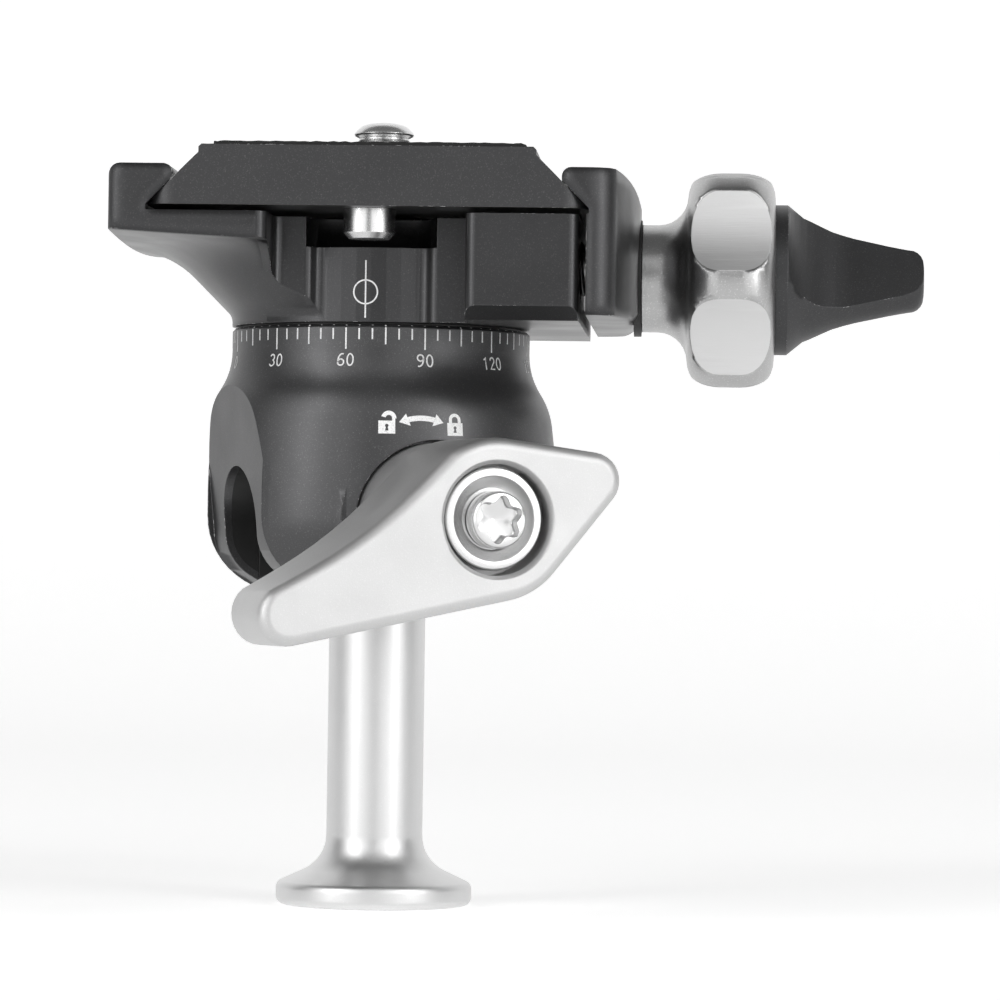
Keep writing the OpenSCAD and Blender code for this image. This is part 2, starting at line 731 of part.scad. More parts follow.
// Section of the clamp across the dovetail, fixed jaw on the left
clamp_section = concat(
    [[fixed_jaw_x, clamp_z - over]],
    arc([fixed_jaw_x + jaw_outer_round, jaw_top_z - jaw_outer_round], jaw_outer_round, 180, 90, 5),
    arc([-lip_x - jaw_lip_round, jaw_top_z - jaw_lip_round], jaw_lip_round, 90, 0, 5),
    [[-lip_x, plate_z + dovetail_half + dovetail_gap - lip_x],
     [-dovetail_half - dovetail_gap, plate_z], [-dovetail_half - dovetail_gap, deck_z],
     [block_x, deck_z], [block_x, clamp_z - over]]);

// Rounds both the outer and the inner corners of a plan outline
module eased(r) offset(r = r) offset(r = -2 * r) offset(r = r) children();

// Turned middle of the clamp with a web on one side of it, wider than the turned part
module clamp_web_plan(from_x, to_x) {
    circle(r = clamp_neck_r);
    translate([from_x, -cove_back_y]) square([to_x - from_x, 2 * cove_back_y]);
}

module clamp_left_plan() eased(plan_round) {
    translate([fixed_jaw_x, -clamp_half]) square([-fixed_jaw_x - wing_in_x, clamp_l]);
    clamp_web_plan(fixed_jaw_x, -tab_half);
}

module clamp_block() intersection() {
    translate([0, 0, clamp_z]) linear_extrude(height = deck_h) eased(plan_round)
        translate([block_in_x, -clamp_half]) square([block_x - block_in_x, clamp_l]);
    translate([block_in_x - over, 0, 0]) rotate([90, 0, 90])
        linear_extrude(height = block_x - block_in_x + 2 * over) polygon([
            [-clamp_half, deck_z + over], [-clamp_half, clamp_z + block_bevel],
            [block_bevel - clamp_half, clamp_z], [clamp_half - block_bevel, clamp_z],
            [clamp_half, clamp_z + block_bevel], [clamp_half, deck_z + over]]);
}

module pin_bays() for (end = [-1, 1])
    translate([0, 0, deck_z - pin_bay_h]) linear_extrude(height = pin_bay_h + over) {
        reach = clamp_half + over - bay_back_y - pin_bay_round;
        translate([-pin_bay_half, end > 0 ? bay_back_y + pin_bay_round : -clamp_half - over])
            square([2 * pin_bay_half, reach]);
        hull() for (side = [-1, 1])
            translate([side * (pin_bay_half - pin_bay_round), end * (bay_back_y + pin_bay_round)])
                circle(r = pin_bay_round, $fn = 32);
    }

module clamp_body() color([0.15, 0.15, 0.16]) difference() {
    union() {
        intersection() {
            translate([0, 0, clamp_z]) linear_extrude(height = jaw_top_z - clamp_z)
                clamp_left_plan();
            along_y(clamp_l) polygon(clamp_section);
            rotate_extrude() polygon(clamp_turned);
        }
        clamp_block();
        translate([0, 0, clamp_z]) linear_extrude(height = deck_h) eased(plan_round)
            clamp_web_plan(tab_half, block_in_x + plan_round * 2);
    }
    pin_bays();
    translate([0, 0, clamp_z - over]) cylinder(h = deck_h + 2 * over, r = post_r + running);
    translate([0, 0, deck_z - pan_recess_h]) cylinder(h = pan_recess_h + over, r = pan_recess_r);
    knob_frame() tube(stud_r_m, stud_in_x, block_x + over);
    for (side = [-1, 1]) translate([0, side * guide_at, 0]) knob_frame() {
        tube(guide_r + running, guide_in_x - guide_room, block_x + over);
        tube(spring_bore_r, block_x - spring_bore_in, block_x + over);
    }
}

module pan_bearing() color("gray")
    tube(bearing_out_r, bearing_z, clamp_z, bearing_in_r);

module clamp_stud() color("silver") knob_frame() difference() {
    rod(stud_r_m - fitted, stud_in_x, stud_end_x, stud_edge);
    tube(stud_r_m + over, circlip_x, circlip_x + circlip_t, stud_r_m - circlip_groove);
}

module stud_circlip() color("gray") knob_frame() translate([0, 0, circlip_x])
    linear_extrude(height = circlip_t) difference() {
        circle(r = circlip_r);
        circle(r = stud_r_m - circlip_groove);
        translate([0, -stud_r_m / 2]) square([circlip_r + over, stud_r_m]);
    }

module jaw_guide_pins() color("silver") for (side = [-1, 1])
    translate([0, side * guide_at, 0]) knob_frame()
        rod(guide_r, guide_in_x, guide_out_x, stud_edge);

// Coil spring along Z as one tube swept round its helix
module coil(mid_r, tube_r, z0, z1, turns) {
    count = turns * coil_steps;
    rise = (z1 - z0 - 2 * tube_r) / count;
    tilt = atan2(rise * count, 2 * PI * mid_r * turns);
    points = [for (k = [0:count], s = [0:wire_sides - 1])
        let (a = 360 * k / coil_steps, b = 360 * s / wire_sides,
            out = mid_r + tube_r * cos(b), up = tube_r * sin(b) * cos(tilt),
            back = -tube_r * sin(b) * sin(tilt))
        [out * cos(a) - back * sin(a), out * sin(a) + back * cos(a),
         z0 + tube_r + rise * k + up]];
    sides = [for (k = [0:count - 1], s = [0:wire_sides - 1])
        each [[k * wire_sides + s, k * wire_sides + (s + 1) % wire_sides,
                (k + 1) * wire_sides + (s + 1) % wire_sides],
              [k * wire_sides + s, (k + 1) * wire_sides + (s + 1) % wire_sides,
                (k + 1) * wire_sides + s]]];
    ends = [[for (s = [0:wire_sides - 1]) s],
            [for (s = [wire_sides - 1:-1:0]) count * wire_sides + s]];
    polyhedron(points = points, faces = concat(sides, ends), convexity = 10);
}

module jaw_springs() color("silver") for (side = [-1, 1])
    translate([0, side * guide_at, 0]) knob_frame()
        coil(coil_r, wire_r, block_x - spring_bore_in + face_gap,
            jaw_in_x + spring_bore_out - face_gap, coil_turns);

// MOVING JAW
jaw_section = concat(
    [[jaw_in_x, jaw_z], [jaw_in_x, deck_z],
     [dovetail_half + dovetail_gap, deck_z + dovetail_gap],
     [dovetail_half + dovetail_gap, plate_z],
     [lip_x, plate_z + dovetail_half + dovetail_gap - lip_x]],
    arc([lip_x + jaw_lip_round, jaw_top_z - jaw_lip_round], jaw_lip_round, 180, 90, 5),
    arc([jaw_mid_x - jaw_shoulder_r, jaw_top_z - jaw_shoulder_r], jaw_shoulder_r, 90, 0, 8),
    arc([jaw_mid_x - jaw_foot_r, jaw_z + jaw_foot_r], jaw_foot_r, 0, -90, 5));

// Plan of the jaw: rounded ends, and an outer face that swells toward its middle
nose_x = jaw_end_x - end_round * sin(end_turn);
swell_half = clamp_half - end_round * (1 - cos(end_turn));
swell_r = (pow(swell_half, 2) + pow(jaw_swell, 2)) / (2 * jaw_swell);
swell_angle = asin(swell_half / swell_r);
jaw_plan = concat(
    [[lip_x - over, -clamp_half]],
    arc([nose_x, end_round - clamp_half], end_round, -90, end_turn - 90),
    arc([jaw_mid_x - swell_r, 0], swell_r, -swell_angle, swell_angle, 12),
    arc([nose_x, clamp_half - end_round], end_round, 90 - end_turn, 90),
    [[lip_x - over, clamp_half]]);

module movable_jaw() color([0.15, 0.15, 0.16]) difference() {
    intersection() {
        along_y(clamp_l) polygon(jaw_section);
        translate([0, 0, jaw_z - over]) linear_extrude(height = jaw_top_z - jaw_z + 2 * over)
            polygon(jaw_plan);
    }
    knob_frame() {
        tube(stud_r_m + loose, jaw_in_x - over, jaw_mid_x + over);
        tube(thrust_r + running, jaw_mid_x - thrust_bed, jaw_mid_x + over);
    }
    for (side = [-1, 1]) translate([0, side * guide_at, 0]) knob_frame() {
        tube(guide_r + fitted, jaw_in_x - over, guide_out_x);
        tube(spring_bore_r, jaw_in_x - over, jaw_in_x + spring_bore_out);
    }
}

// KNOB GROUP
head_top_r = knob_head_r - knob_head_round;
sweep_mid_r = knob_neck_r + knob_sweep_r;
head_low_x = knob_head_x + knob_head_round;
sweep_mid_x = head_low_x
    - sqrt(pow(knob_head_round + knob_sweep_r, 2) - pow(sweep_mid_r - head_top_r, 2));
meet_angle = atan2(sweep_mid_r - head_top_r, head_low_x - sweep_mid_x);
knob_outline = concat(
    [[0, knob_in_x], [knob_neck_r, knob_in_x]],
    arc([sweep_mid_r, sweep_mid_x], knob_sweep_r, 180, 90 + meet_angle, 7),
    arc([head_top_r, head_low_x], knob_head_round, meet_angle - 90, 0, 8),
    arc([head_top_r, knob_end_x - knob_head_round], knob_head_round, 0, 90, 8),
    [[0, knob_end_x]]);

module clamp_knob() color("silver") knob_frame() difference() {
    rotate_extrude() polygon(knob_outline);
    for (i = [0:hollow_count - 1]) rotate([0, 0, 360 / hollow_count * (i + 0.5) + hollow_phase])
        translate([0, knob_head_r - hollow_depth + hollow_r, knob_head_x - over])
            cylinder(h = knob_head_l + 2 * over, r = hollow_r);
    tube(stud_r_m + running, knob_in_x - over, knob_end_x);
    tube(knob_bush_r, knob_bush_x, knob_bush_end_x + over);
    tube(knob_cavity_r, knob_bush_end_x, knob_end_x + over);
}

module knob_bush() color("goldenrod") knob_frame()
    tube(knob_bush_r - fitted, knob_bush_x, knob_bush_end_x, stud_r_m + running);

wing_tip_x = knob_end_x + wing_l;
wing_fall = wing_base_r - wing_tip_r;
wing_outline = concat(
    [[0, knob_end_x - spigot_l], [knob_cavity_r - fitted, knob_end_x - spigot_l],
     [knob_cavity_r - fitted, knob_end_x], [wing_base_r, knob_end_x],
     [wing_base_r, knob_end_x + wing_rim_l]],
    [for (s = wing_taper_shares) [wing_tip_r + wing_fall * s[1], knob_end_x + wing_l * s[0]]],
    arc([wing_tip_r - wing_tip_round, wing_tip_x - wing_tip_round], wing_tip_round, 0, 90, 5),
    [[0, wing_tip_x]]);

// Dished face of the wing: a round cutter leaves the blade between its two passes
module wing_dish() {
    half = wing_blade_t / 2;
    rise = wing_base_r - half;
    run = sqrt(pow(wing_dish_r, 2) - pow(wing_dish_r - rise, 2));
    dish_x = knob_end_x + wing_rim_l + run;
    lip_x0 = wing_tip_x - wing_lip_l;
    width = 2 * wing_base_r + 2 * over;
    rotate([0, 90, 0]) translate([0, 0, -width / 2]) linear_extrude(height = width)
        polygon(concat(
            arc([-dish_x, half + wing_dish_r], wing_dish_r, 0, -90, 10),
            [[-lip_x0, half], [-wing_tip_x, half + wing_lip_h],
             [-wing_tip_x - over, half + wing_lip_h], [-wing_tip_x - over, wing_base_r + over],
             [-knob_end_x - wing_rim_l, wing_base_r + over]]));
}

module knob_wing() color([0.15, 0.15, 0.16]) knob_frame() rotate([0, 0, -wing_roll])
    difference() {
        rotate_extrude() polygon(wing_outline);
        for (side = [0, 1]) mirror([0, side, 0]) wing_dish();
    }

module thrust_washer() color("silver") knob_frame()
    tube(thrust_r, jaw_mid_x - thrust_bed, jaw_mid_x - thrust_bed + thrust_t,
        stud_r_m + free);

// PLATE GROUP
plate_edge = 0.25;
plate_section = [
    [-dovetail_half, plate_z], [dovetail_half, plate_z], [plate_end_half, plate_z + flank_h],
    [plate_end_half, plate_top_z - plate_edge], [plate_end_half - plate_edge, plate_top_z],
    [plate_edge - plate_end_half, plate_top_z], [-plate_end_half, plate_top_z - plate_edge],
    [-plate_end_half, plate_z + flank_h]];

module qr_plate() color([0.15, 0.15, 0.16]) difference() {
    intersection() {
        along_y(clamp_l) polygon(plate_section);
        translate([0, 0, plate_z - over]) linear_extrude(height = plate_h + 2 * over)
            rounded_plan(dovetail_w, clamp_l, plate_corner_r);
    }
    translate([0, 0, pad_top_z - pad_t]) linear_extrude(height = pad_t)
        rounded_plan(2 * (plate_end_half - pad_margin), clamp_l - 2 * pad_end_margin,
            pad_corner_r);
    translate([0, 0, plate_z - over]) {
        cylinder(h = plate_h + 2 * over, r = screw_hole_r);
        cylinder(h = head_recess_h + over, r = head_recess_r);
    }
    translate([0, 0, clip_bay_floor_z]) cylinder(h = plate_h, r = clip_bay_r);
    for (end = [-1, 1]) translate([0, end * stop_at, plate_z - over])
        cylinder(h = stop_shank_l + over, r = stop_shank_r);
}

module plate_pad() color([0.1, 0.1, 0.1]) difference() {
    translate([0, 0, pad_top_z - pad_t]) linear_extrude(height = pad_t)
        rounded_plan(2 * (plate_end_half - pad_margin - pad_fit),
            clamp_l - 2 * (pad_end_margin + pad_fit), pad_corner_r - pad_fit);
    translate([0, 0, pad_top_z - pad_t - over]) cylinder(h = pad_t + 2 * over, r = screw_hole_r);
}

module stop_screws() color("silver") for (end = [-1, 1]) translate([0, end * stop_at, 0])
    rotate_extrude() polygon([
        [0, plate_z - stop_pin_h], [stop_r - stop_edge, plate_z - stop_pin_h],
        [stop_r, plate_z - stop_pin_h + stop_edge], [stop_r, plate_z],
        [stop_shank_r - fitted, plate_z], [stop_shank_r - fitted, plate_z + stop_shank_l],
        [0, plate_z + stop_shank_l]]);

module camera_screw() color("silver") difference() {
    head_top_z = plate_z + head_recess_h - face_gap;
    rotate_extrude() polygon([
        [0, head_top_z - screw_head_h], [screw_head_r - stud_edge, head_top_z - screw_head_h],
        [screw_head_r, head_top_z - screw_head_h + stud_edge], [screw_head_r, head_top_z],
        [screw_shank_r, head_top_z], [screw_shank_r, clip_z], [clip_in_r, clip_z],
        [clip_in_r, clip_z + clip_t], [screw_shank_r, clip_z + clip_t],
        [screw_shank_r, screw_thread_z], [screw_r, screw_thread_z],
        [screw_r, screw_top_z - screw_tip], [screw_r - screw_tip, screw_top_z],
        [0, screw_top_z]]);
    translate([-screw_head_r - over, -coin_slot_w / 2, head_top_z - screw_head_h - over])
        cube([2 * (screw_head_r + over), coin_slot_w, coin_slot_h + over]);
}

module screw_clip() color("gray") translate([0, 0, clip_z])
    linear_extrude(height = clip_t) difference() {
        circle(r = clip_out_r);
        circle(r = clip_in_r);
        translate([0, -clip_in_r / 2]) square([clip_out_r + over, clip_in_r]);
    }

stem();
ball();
ball_stud();
lock_piston();
brake_pad();
housing();
lower_seat();
ball_cup();
cup_spring();
housing_cap();
lock_bush();
pan_screw();
pan_washer();
lock_lever();
lock_spindle();
lever_washer();
lever_screw();
clamp_body();
pan_bearing();
clamp_stud();
stud_circlip();
jaw_guide_pins();
jaw_springs();
movable_jaw();
clamp_knob();
knob_wing();
knob_bush();
thrust_washer();
qr_plate();
plate_pad();
stop_screws();
camera_screw();
screw_clip();
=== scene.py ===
"""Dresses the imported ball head: metals with their real finish, engraved scale and lock signs,
a threaded camera screw, a six-lobe lever screw and a grained rubber pad, in a white studio."""

import json
import math

import bmesh
import bpy
from mathutils import Matrix, Vector, noise
from mathutils.bvhtree import BVHTree


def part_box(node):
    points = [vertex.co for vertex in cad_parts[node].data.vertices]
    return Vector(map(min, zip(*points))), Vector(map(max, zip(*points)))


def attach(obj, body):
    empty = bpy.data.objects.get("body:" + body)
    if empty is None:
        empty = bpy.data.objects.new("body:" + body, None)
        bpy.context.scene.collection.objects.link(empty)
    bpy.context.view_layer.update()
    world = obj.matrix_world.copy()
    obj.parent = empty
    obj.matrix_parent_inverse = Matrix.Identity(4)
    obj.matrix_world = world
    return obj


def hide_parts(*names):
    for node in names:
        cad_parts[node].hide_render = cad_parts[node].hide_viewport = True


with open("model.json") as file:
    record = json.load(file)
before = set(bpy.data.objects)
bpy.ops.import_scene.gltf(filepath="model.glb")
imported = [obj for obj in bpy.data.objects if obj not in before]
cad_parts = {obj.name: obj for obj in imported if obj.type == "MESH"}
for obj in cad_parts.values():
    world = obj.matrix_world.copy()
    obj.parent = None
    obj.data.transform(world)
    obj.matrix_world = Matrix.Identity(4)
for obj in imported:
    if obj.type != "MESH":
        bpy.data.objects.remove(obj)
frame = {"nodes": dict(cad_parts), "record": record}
NODES = frame["nodes"]
BODIES = frame["record"]["behaviour"]["bodies"]
BODY_OF = {node: body for body, names in BODIES.items() for node in names}
SLOT_OF = {part["node"]: part["material_slot"] for part in frame["record"]["subparts"]}
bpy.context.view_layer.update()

MM = 0.001

# Camera, measured from the photograph
PHOTO_SIDE_PX = 1000
CAMERA_PLACE = Vector((31.42, -429.8, 30.7)) * MM
CAMERA_FOCAL_PX = 4806
CAMERA_TURN = math.radians(2.74)
CAMERA_RISE = math.radians(0.75)
CAMERA_ROLL = math.radians(0.8)
SENSOR_MM = 36

# Places on the head, in millimetres and degrees. Azimuth 0 is the front
BALL_Z = 34.3
LEVER_AZ = 23
SLOT_AZ = -67
FIXED_JAW_IN_X = -9.5
SLOT_HALF = 4.75
# Depth into the slot, in millimetres, past which its bore gets painted shade
SLOT_SHADE_DEPTH = 0.65
SCALE_AZ = SLOT_AZ - 2.2
KNOB_Z = 56.3
HOLLOW_R = 10.4
HOLLOW_AXIS_R = 19.0
HOLLOW_PHASE = 36
HOLLOW_COUNT = 6
HOLLOW_TOLERANCE = 0.06
THREAD_PITCH = 25.4 / 20
LEVER_FRAME = (
    Matrix.Translation((0, 0, BALL_Z * MM))
    @ Matrix.Rotation(math.radians(LEVER_AZ), 4, "Z")
    @ Matrix.Rotation(math.radians(90), 4, "X")
)

# Shading: vertices this close are one, faces this flat are one, edges past these angles are
# sharp. On the housing the flat round the slot meets the side at a shallow angle
MERGE_GAP = 0.0005 * MM
FLAT_ANGLE = math.radians(0.25)
SHARP_ANGLE = math.radians(26)
HOUSING_SHARP_ANGLE = math.radians(11)

# Marks, in millimetres: they stand a hair proud of the metal and reach a little into it
MARK_THICKNESS = 0.05
MARK_PROUD = 0.012
MARK_SUNK = 0.03
MARK_STEP = 0.35
MARK_GAP = 0.0001
MARK_LINE_HALF = 0.065
PEN_WIDTH = 0.14
RAY_START = 50 * MM

# Sockets of a colour mix
MIX_A, MIX_B, MIX_OUT = 6, 7, 2


def linear(hex_colour):
    """An sRGB hex value as linear red, green, blue and alpha."""
    parts = [int(hex_colour[i : i + 2], 16) / 255 for i in (0, 2, 4)]
    return [c / 12.92 if c <= 0.04045 else ((c + 0.055) / 1.055) ** 2.4 for c in parts] + [1.0]


def add(tree, kind, settings=None, links=None):
    """Adds a node with its inputs and properties, and links (node, output) to its inputs."""
    node = tree.nodes.new(kind)
    for name, value in (settings or {}).items():
        if isinstance(name, int) or name in node.inputs:
            node.inputs[name].default_value = value
        else:
            setattr(node, name, value)
    for name, (source, output) in (links or {}).items():
        tree.links.new(source.outputs[output], node.inputs[name])
    return node


def new_material(name):
    """An empty node material and its tree."""
    material = bpy.data.materials.new(name)
    material.use_nodes = True
    material.node_tree.nodes.clear()
    return material, material.node_tree


def speckle(tree, place, size_mm, low, high):
    """Share of a surface that a random grain of one size covers, from 0 to 1."""
    grain = add(
        tree,
        "ShaderNodeTexNoise",
        {"Scale": 1 / (size_mm * MM), "Detail": 2.0, "Roughness": 0.6},
        {"Vector": place},
    )
    return add(
        tree, "ShaderNodeMapRange", {"From Min": low, "From Max": high}, {"Value": (grain, 0)}
    )


def worn_edges(tree, place):
    """Where an outer edge has lost its finish: thin, broken marks along the sharp edges only."""
    facing = add(tree, "ShaderNodeNewGeometry")
    edge = add(tree, "ShaderNodeBevel", {"samples": 8, "Radius": 0.09 * MM})
    along = add(
        tree,
        "ShaderNodeVectorMath",
        {"operation": "DOT_PRODUCT"},
        {0: (facing, "Normal"), 1: (edge, 0)},
    )
    rim = add(
        tree, "ShaderNodeMapRange", {"From Min": 0.97, "From Max": 0.9}, {"Value": (along, "Value")}
    )
    # The knocks come in stretches of some 3 mm, each of them a row of small nicks
    stretch = speckle(tree, place, 3.2, 0.5, 0.56)
    nick = speckle(tree, place, 0.3, 0.54, 0.58)
    worn = add(tree, "ShaderNodeMath", {"operation": "MULTIPLY"}, {0: (stretch, 0), 1: (nick, 0)})
    return add(tree, "ShaderNodeMath", {"operation": "MULTIPLY"}, {0: (rim, 0), 1: (worn, 0)})


def relief(tree, place, scale, depth_mm, edge_mm, samples=6, roughness=0.6):
    """A noise pattern as fine relief, over edges that are softened by a radius."""
    pattern = add(
        tree,
        "ShaderNodeTexNoise",
        {"Scale": scale, "Detail": 2.0, "Roughness": roughness},
        {"Vector": place},
    )
    edge = add(tree, "ShaderNodeBevel", {"samples": samples, "Radius": edge_mm * MM})
    return add(
        tree,
        "ShaderNodeBump",
        {"Strength": 1.0, "Distance": depth_mm * MM},
        {"Height": (pattern, 0), "Normal": (edge, 0)},
    )


def end_surface(tree, settings, links):
    """Ends a material in one surface shader."""
    shader = add(tree, "ShaderNodeBsdfPrincipled", settings, links)
    add(tree, "ShaderNodeOutputMaterial", None, {"Surface": (shader, 0)})


def anodised(name, colour, fleck, wear, roughness, metallic, grit_mm, depth_mm, edge_mm=0.12):
    """Blasted and anodised aluminium: sparkling grain, cloudy gloss and bare, knocked edges."""
    material, tree = new_material(name)
    place = (add(tree, "ShaderNodeTexCoord"), "Object")
    bump = relief(tree, place, 1 / (grit_mm * MM), depth_mm, edge_mm, samples=12)
    sparkle = speckle(tree, place, grit_mm * 0.8, 0.58, 0.74)
    grains = add(
        tree,
        "ShaderNodeMix",
        {"data_type": "RGBA", MIX_A: linear(colour), MIX_B: linear(fleck)},
        {"Factor": (sparkle, 0)},
    )
    paint = add(
        tree,
        "ShaderNodeMix",
        {"data_type": "RGBA", MIX_B: linear(wear)},
        {"Factor": (worn_edges(tree, place), 0), MIX_A: (grains, MIX_OUT)},
    )
    # The bath leaves clouds of some 6 mm in the gloss
    cloud = add(
        tree, "ShaderNodeTexNoise", {"Scale": 1 / (6 * MM), "Detail": 3.0}, {"Vector": place}
    )
    gloss = add(
        tree,
        "ShaderNodeMapRange",
        {"From Min": 0.3, "From Max": 0.7, "To Min": roughness - 0.04, "To Max": roughness + 0.04},
        {"Value": (cloud, 0)},
    )
    end_surface(
        tree,
        {"Metallic": metallic},
        {"Base Color": (paint, MIX_OUT), "Roughness": (gloss, 0), "Normal": (bump, 0)},
    )
    return material


def tooled_metal(name, colour, roughness, groove_mm, length_mm, depth_mm):
    """Bare machined metal: fine tool lines, with the size of a line across and along X."""
    material, tree = new_material(name)
    drawn = add(
        tree,
        "ShaderNodeMapping",
        {"Scale": (1 / (length_mm * MM), 1 / (groove_mm * MM), 1 / (groove_mm * MM))},
        {"Vector": (add(tree, "ShaderNodeTexCoord"), "Object")},
    )
    bump = relief(tree, (drawn, 0), 1.0, depth_mm, 0.08, roughness=0.5)
    end_surface(
        tree,
        {"Base Color": linear(colour), "Metallic": 1.0, "Roughness": roughness},
        {"Normal": (bump, 0)},
    )
    return material


def moulded(name, colour, roughness, grit_mm, depth_mm):
    """Moulded plastic or rubber with a fine matt grain."""
    material, tree = new_material(name)
    place = (add(tree, "ShaderNodeTexCoord"), "Object")
    bump = relief(tree, place, 1 / (grit_mm * MM), depth_mm, 0.1)
    end_surface(
        tree, {"Base Color": linear(colour), "Roughness": roughness}, {"Normal": (bump, 0)}
    )
    return material


def laser_marked(name):
    """Laser-marked oxide: chalky white, with a little of the ground showing through."""
    material, tree = new_material(name)
    place = (add(tree, "ShaderNodeTexCoord"), "Object")
    chalk = speckle(tree, place, 0.12, 0.3, 0.48)
    paint = add(
        tree,
        "ShaderNodeMix",
        {"data_type": "RGBA", MIX_A: linear("D0D0D0"), MIX_B: linear("FCFCFC")},
        {"Factor": (chalk, 0)},
    )
    end_surface(tree, {"Roughness": 0.7}, {"Base Color": (paint, MIX_OUT)})
    return material


# Finishes by the record's slot. Grit and groove sizes are in millimetres. The real blast grit
# is finer than 0.1 mm, and it is drawn at 0.13 mm or more, as coarse as it needs to be to show
MATERIALS = {
    # Blasted and clear anodised: satin, nearly white under the soft boxes
    "silver_anodised": anodised(
        "silver_anodised_aluminium", "CCCCCC", "D8D8D8", "F0F0F0", 0.52, 1.0, 0.13, 0.008
    ),
    # Blasted and dyed grey: soft, broad highlights on a dark ground
    "grey_anodised": anodised(
        "grey_anodised_aluminium", "525253", "6C6C6C", "C4C4C4", 0.38, 0.8, 0.14, 0.007
    ),
    # Blasted and dyed black: nearly even and matt, with bright nicks on its edges
    "black_anodised": anodised(
        "black_anodised_aluminium", "464647", "5E5E5E", "D8D8D8", 0.43, 0.75, 0.14, 0.008
    ),
    # Turned steel: clear reflections, a little broken by tool marks
    "steel": tooled_metal("turned_steel", "BDBDBD", 0.28, 0.12, 0.12, 0.002),
    # Polished stainless steel: bright, sharp bands
    "bright_steel": tooled_metal("polished_stainless_steel", "DCDCDC", 0.27, 0.2, 0.2, 0.001),
    # Machined brass: warm, clear reflections
    "brass": tooled_metal("machined_brass", "C9A55C", 0.25, 0.15, 0.15, 0.002),
    # Natural acetal: ivory and waxy
    "white_plastic": moulded("moulded_acetal", "E4E0D4", 0.35, 0.3, 0.004),
    # Black acetal: dark, with a dull sheen
    "black_plastic": moulded("moulded_black_acetal", "1A1A1A", 0.45, 0.3, 0.004),
    # Rubber from a grained mould: matt and pitted
    "black_rubber": moulded("grained_rubber", "1C1C1C", 0.75, 0.3, 0.05),
}
MARKS = laser_marked("laser_marked_oxide")
# Jaws: tumbled before they are anodised, so their edges are soft. The clamp's middle and block
# are milled afterwards, and stay crisp
TUMBLED = anodised(
    "tumbled_black_aluminium", "464647", "5A5A5A", "D8D8D8", 0.32, 0.8, 0.14, 0.006, edge_mm=1.7
)
MILLED_BLACK = anodised(
    "milled_black_aluminium", "464647", "5A5A5A", "D8D8D8", 0.32, 0.8, 0.14, 0.006
)
# Knob: clear anodised over a turned, less blasted ground, so it mirrors the dark room more
KNOB_SATIN = anodised(
    "satin_anodised_aluminium", "B4B4B4", "DADADA", "F0F0F0", 0.32, 1.0, 0.16, 0.016
)
# Hollows of the knob: milled along its axis after the satin finish, and coloured lighter than the
# knob's body as painted light from the soft boxes
KNOB_MILLED_AND_LIT = tooled_metal("milled_aluminium_painted_lighter", "DADADA", 0.52, 0.09, 2.5, 0.014)
# Stem: turned and only lightly blasted, so its light bands are clearer
STEM_SATIN = anodised(
    "turned_anodised_aluminium", "DADADA", "E2E2E2", "F0F0F0", 0.4, 1.0, 0.13, 0.006
)
# Thrust washer: black oxide, nearly matt. The same dark colour is painted on the slot's bore as
# painted shade
BLACK_OXIDE_AND_BORE_SHADE = moulded("black_oxide_and_painted_bore_shade", "141414", 0.5, 0.2, 0.002)


def placed(name, data):
    """A new object in the scene."""
    piece = bpy.data.objects.new(name, data)
    bpy.context.scene.collection.objects.link(piece)
    return piece


def mesh_from(build, name):
    """A new mesh with the shape of a bmesh, which is freed."""
    mesh = bpy.data.meshes.new(name)
    build.to_mesh(mesh)
    build.free()
    return mesh


def finish_piece(mesh, name, node=None, body=None, slot=None, finishes=None):
    """Links a mesh as a piece that stands for a node, or that rides on a body."""
    piece = placed(name, mesh)
    slot = slot or SLOT_OF[node]
    for finish in finishes or [MATERIALS[slot]]:
        mesh.materials.append(finish)
    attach(piece, body or BODY_OF[node])
    if node:
        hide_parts(node)
    return piece


def merged(node):
    """A bmesh copy of a CAD node with its triangles joined into whole flat faces."""
    build = bmesh.new()
    build.from_mesh(NODES[node].data)
    bmesh.ops.remove_doubles(build, verts=build.verts, dist=MERGE_GAP)
    for face in build.faces:
        face.material_index = 0
    bmesh.ops.dissolve_limit(build, angle_limit=FLAT_ANGLE, verts=build.verts, edges=build.edges)
    return build


def machined(build, name, sharp=SHARP_ANGLE, **settings):
    """A piece shaded as machined: flat faces stay flat, fillets flow, real edges stay crisp."""
    mesh = mesh_from(build, name)
    mesh.shade_smooth()
    mesh.set_sharp_from_angle(angle=sharp)
    piece = finish_piece(mesh, name, **settings)
    flats = piece.modifiers.new("flat_faces_lead", "WEIGHTED_NORMAL")
    flats.mode = "FACE_AREA_WITH_ANGLE"
    flats.keep_sharp = True


def outward(azimuth):
    """Level direction away from the head's axis, at an azimuth in radians."""
    return Vector((math.sin(azimuth), -math.cos(azimuth), 0))


def revolve(build, outline_mm, steps=96):
    """Spins an outline of (radius, height) round Z."""
    verts = [build.verts.new((r * MM, 0, z * MM)) for r, z in outline_mm]
    edges = [build.edges.new(pair) for pair in zip(verts, verts[1:])]
    bmesh.ops.spin(
        build,
        geom=verts + edges,
        cent=(0, 0, 0),
        axis=(0, 0, 1),
        angle=math.tau,
        steps=steps,
        use_merge=True,
    )
    bmesh.ops.remove_doubles(build, verts=build.verts, dist=MERGE_GAP)
    bmesh.ops.recalc_face_normals(build, faces=build.faces)


def reach_of(vert):
    """Distance of a point from Z, in millimetres."""
    return math.hypot(vert.co.x, vert.co.y) / MM


def set_reach(vert, reach_mm):
    """Moves a point straight out or in, to a distance from Z."""
    share = reach_mm / reach_of(vert)
    vert.co.x *= share
    vert.co.y *= share


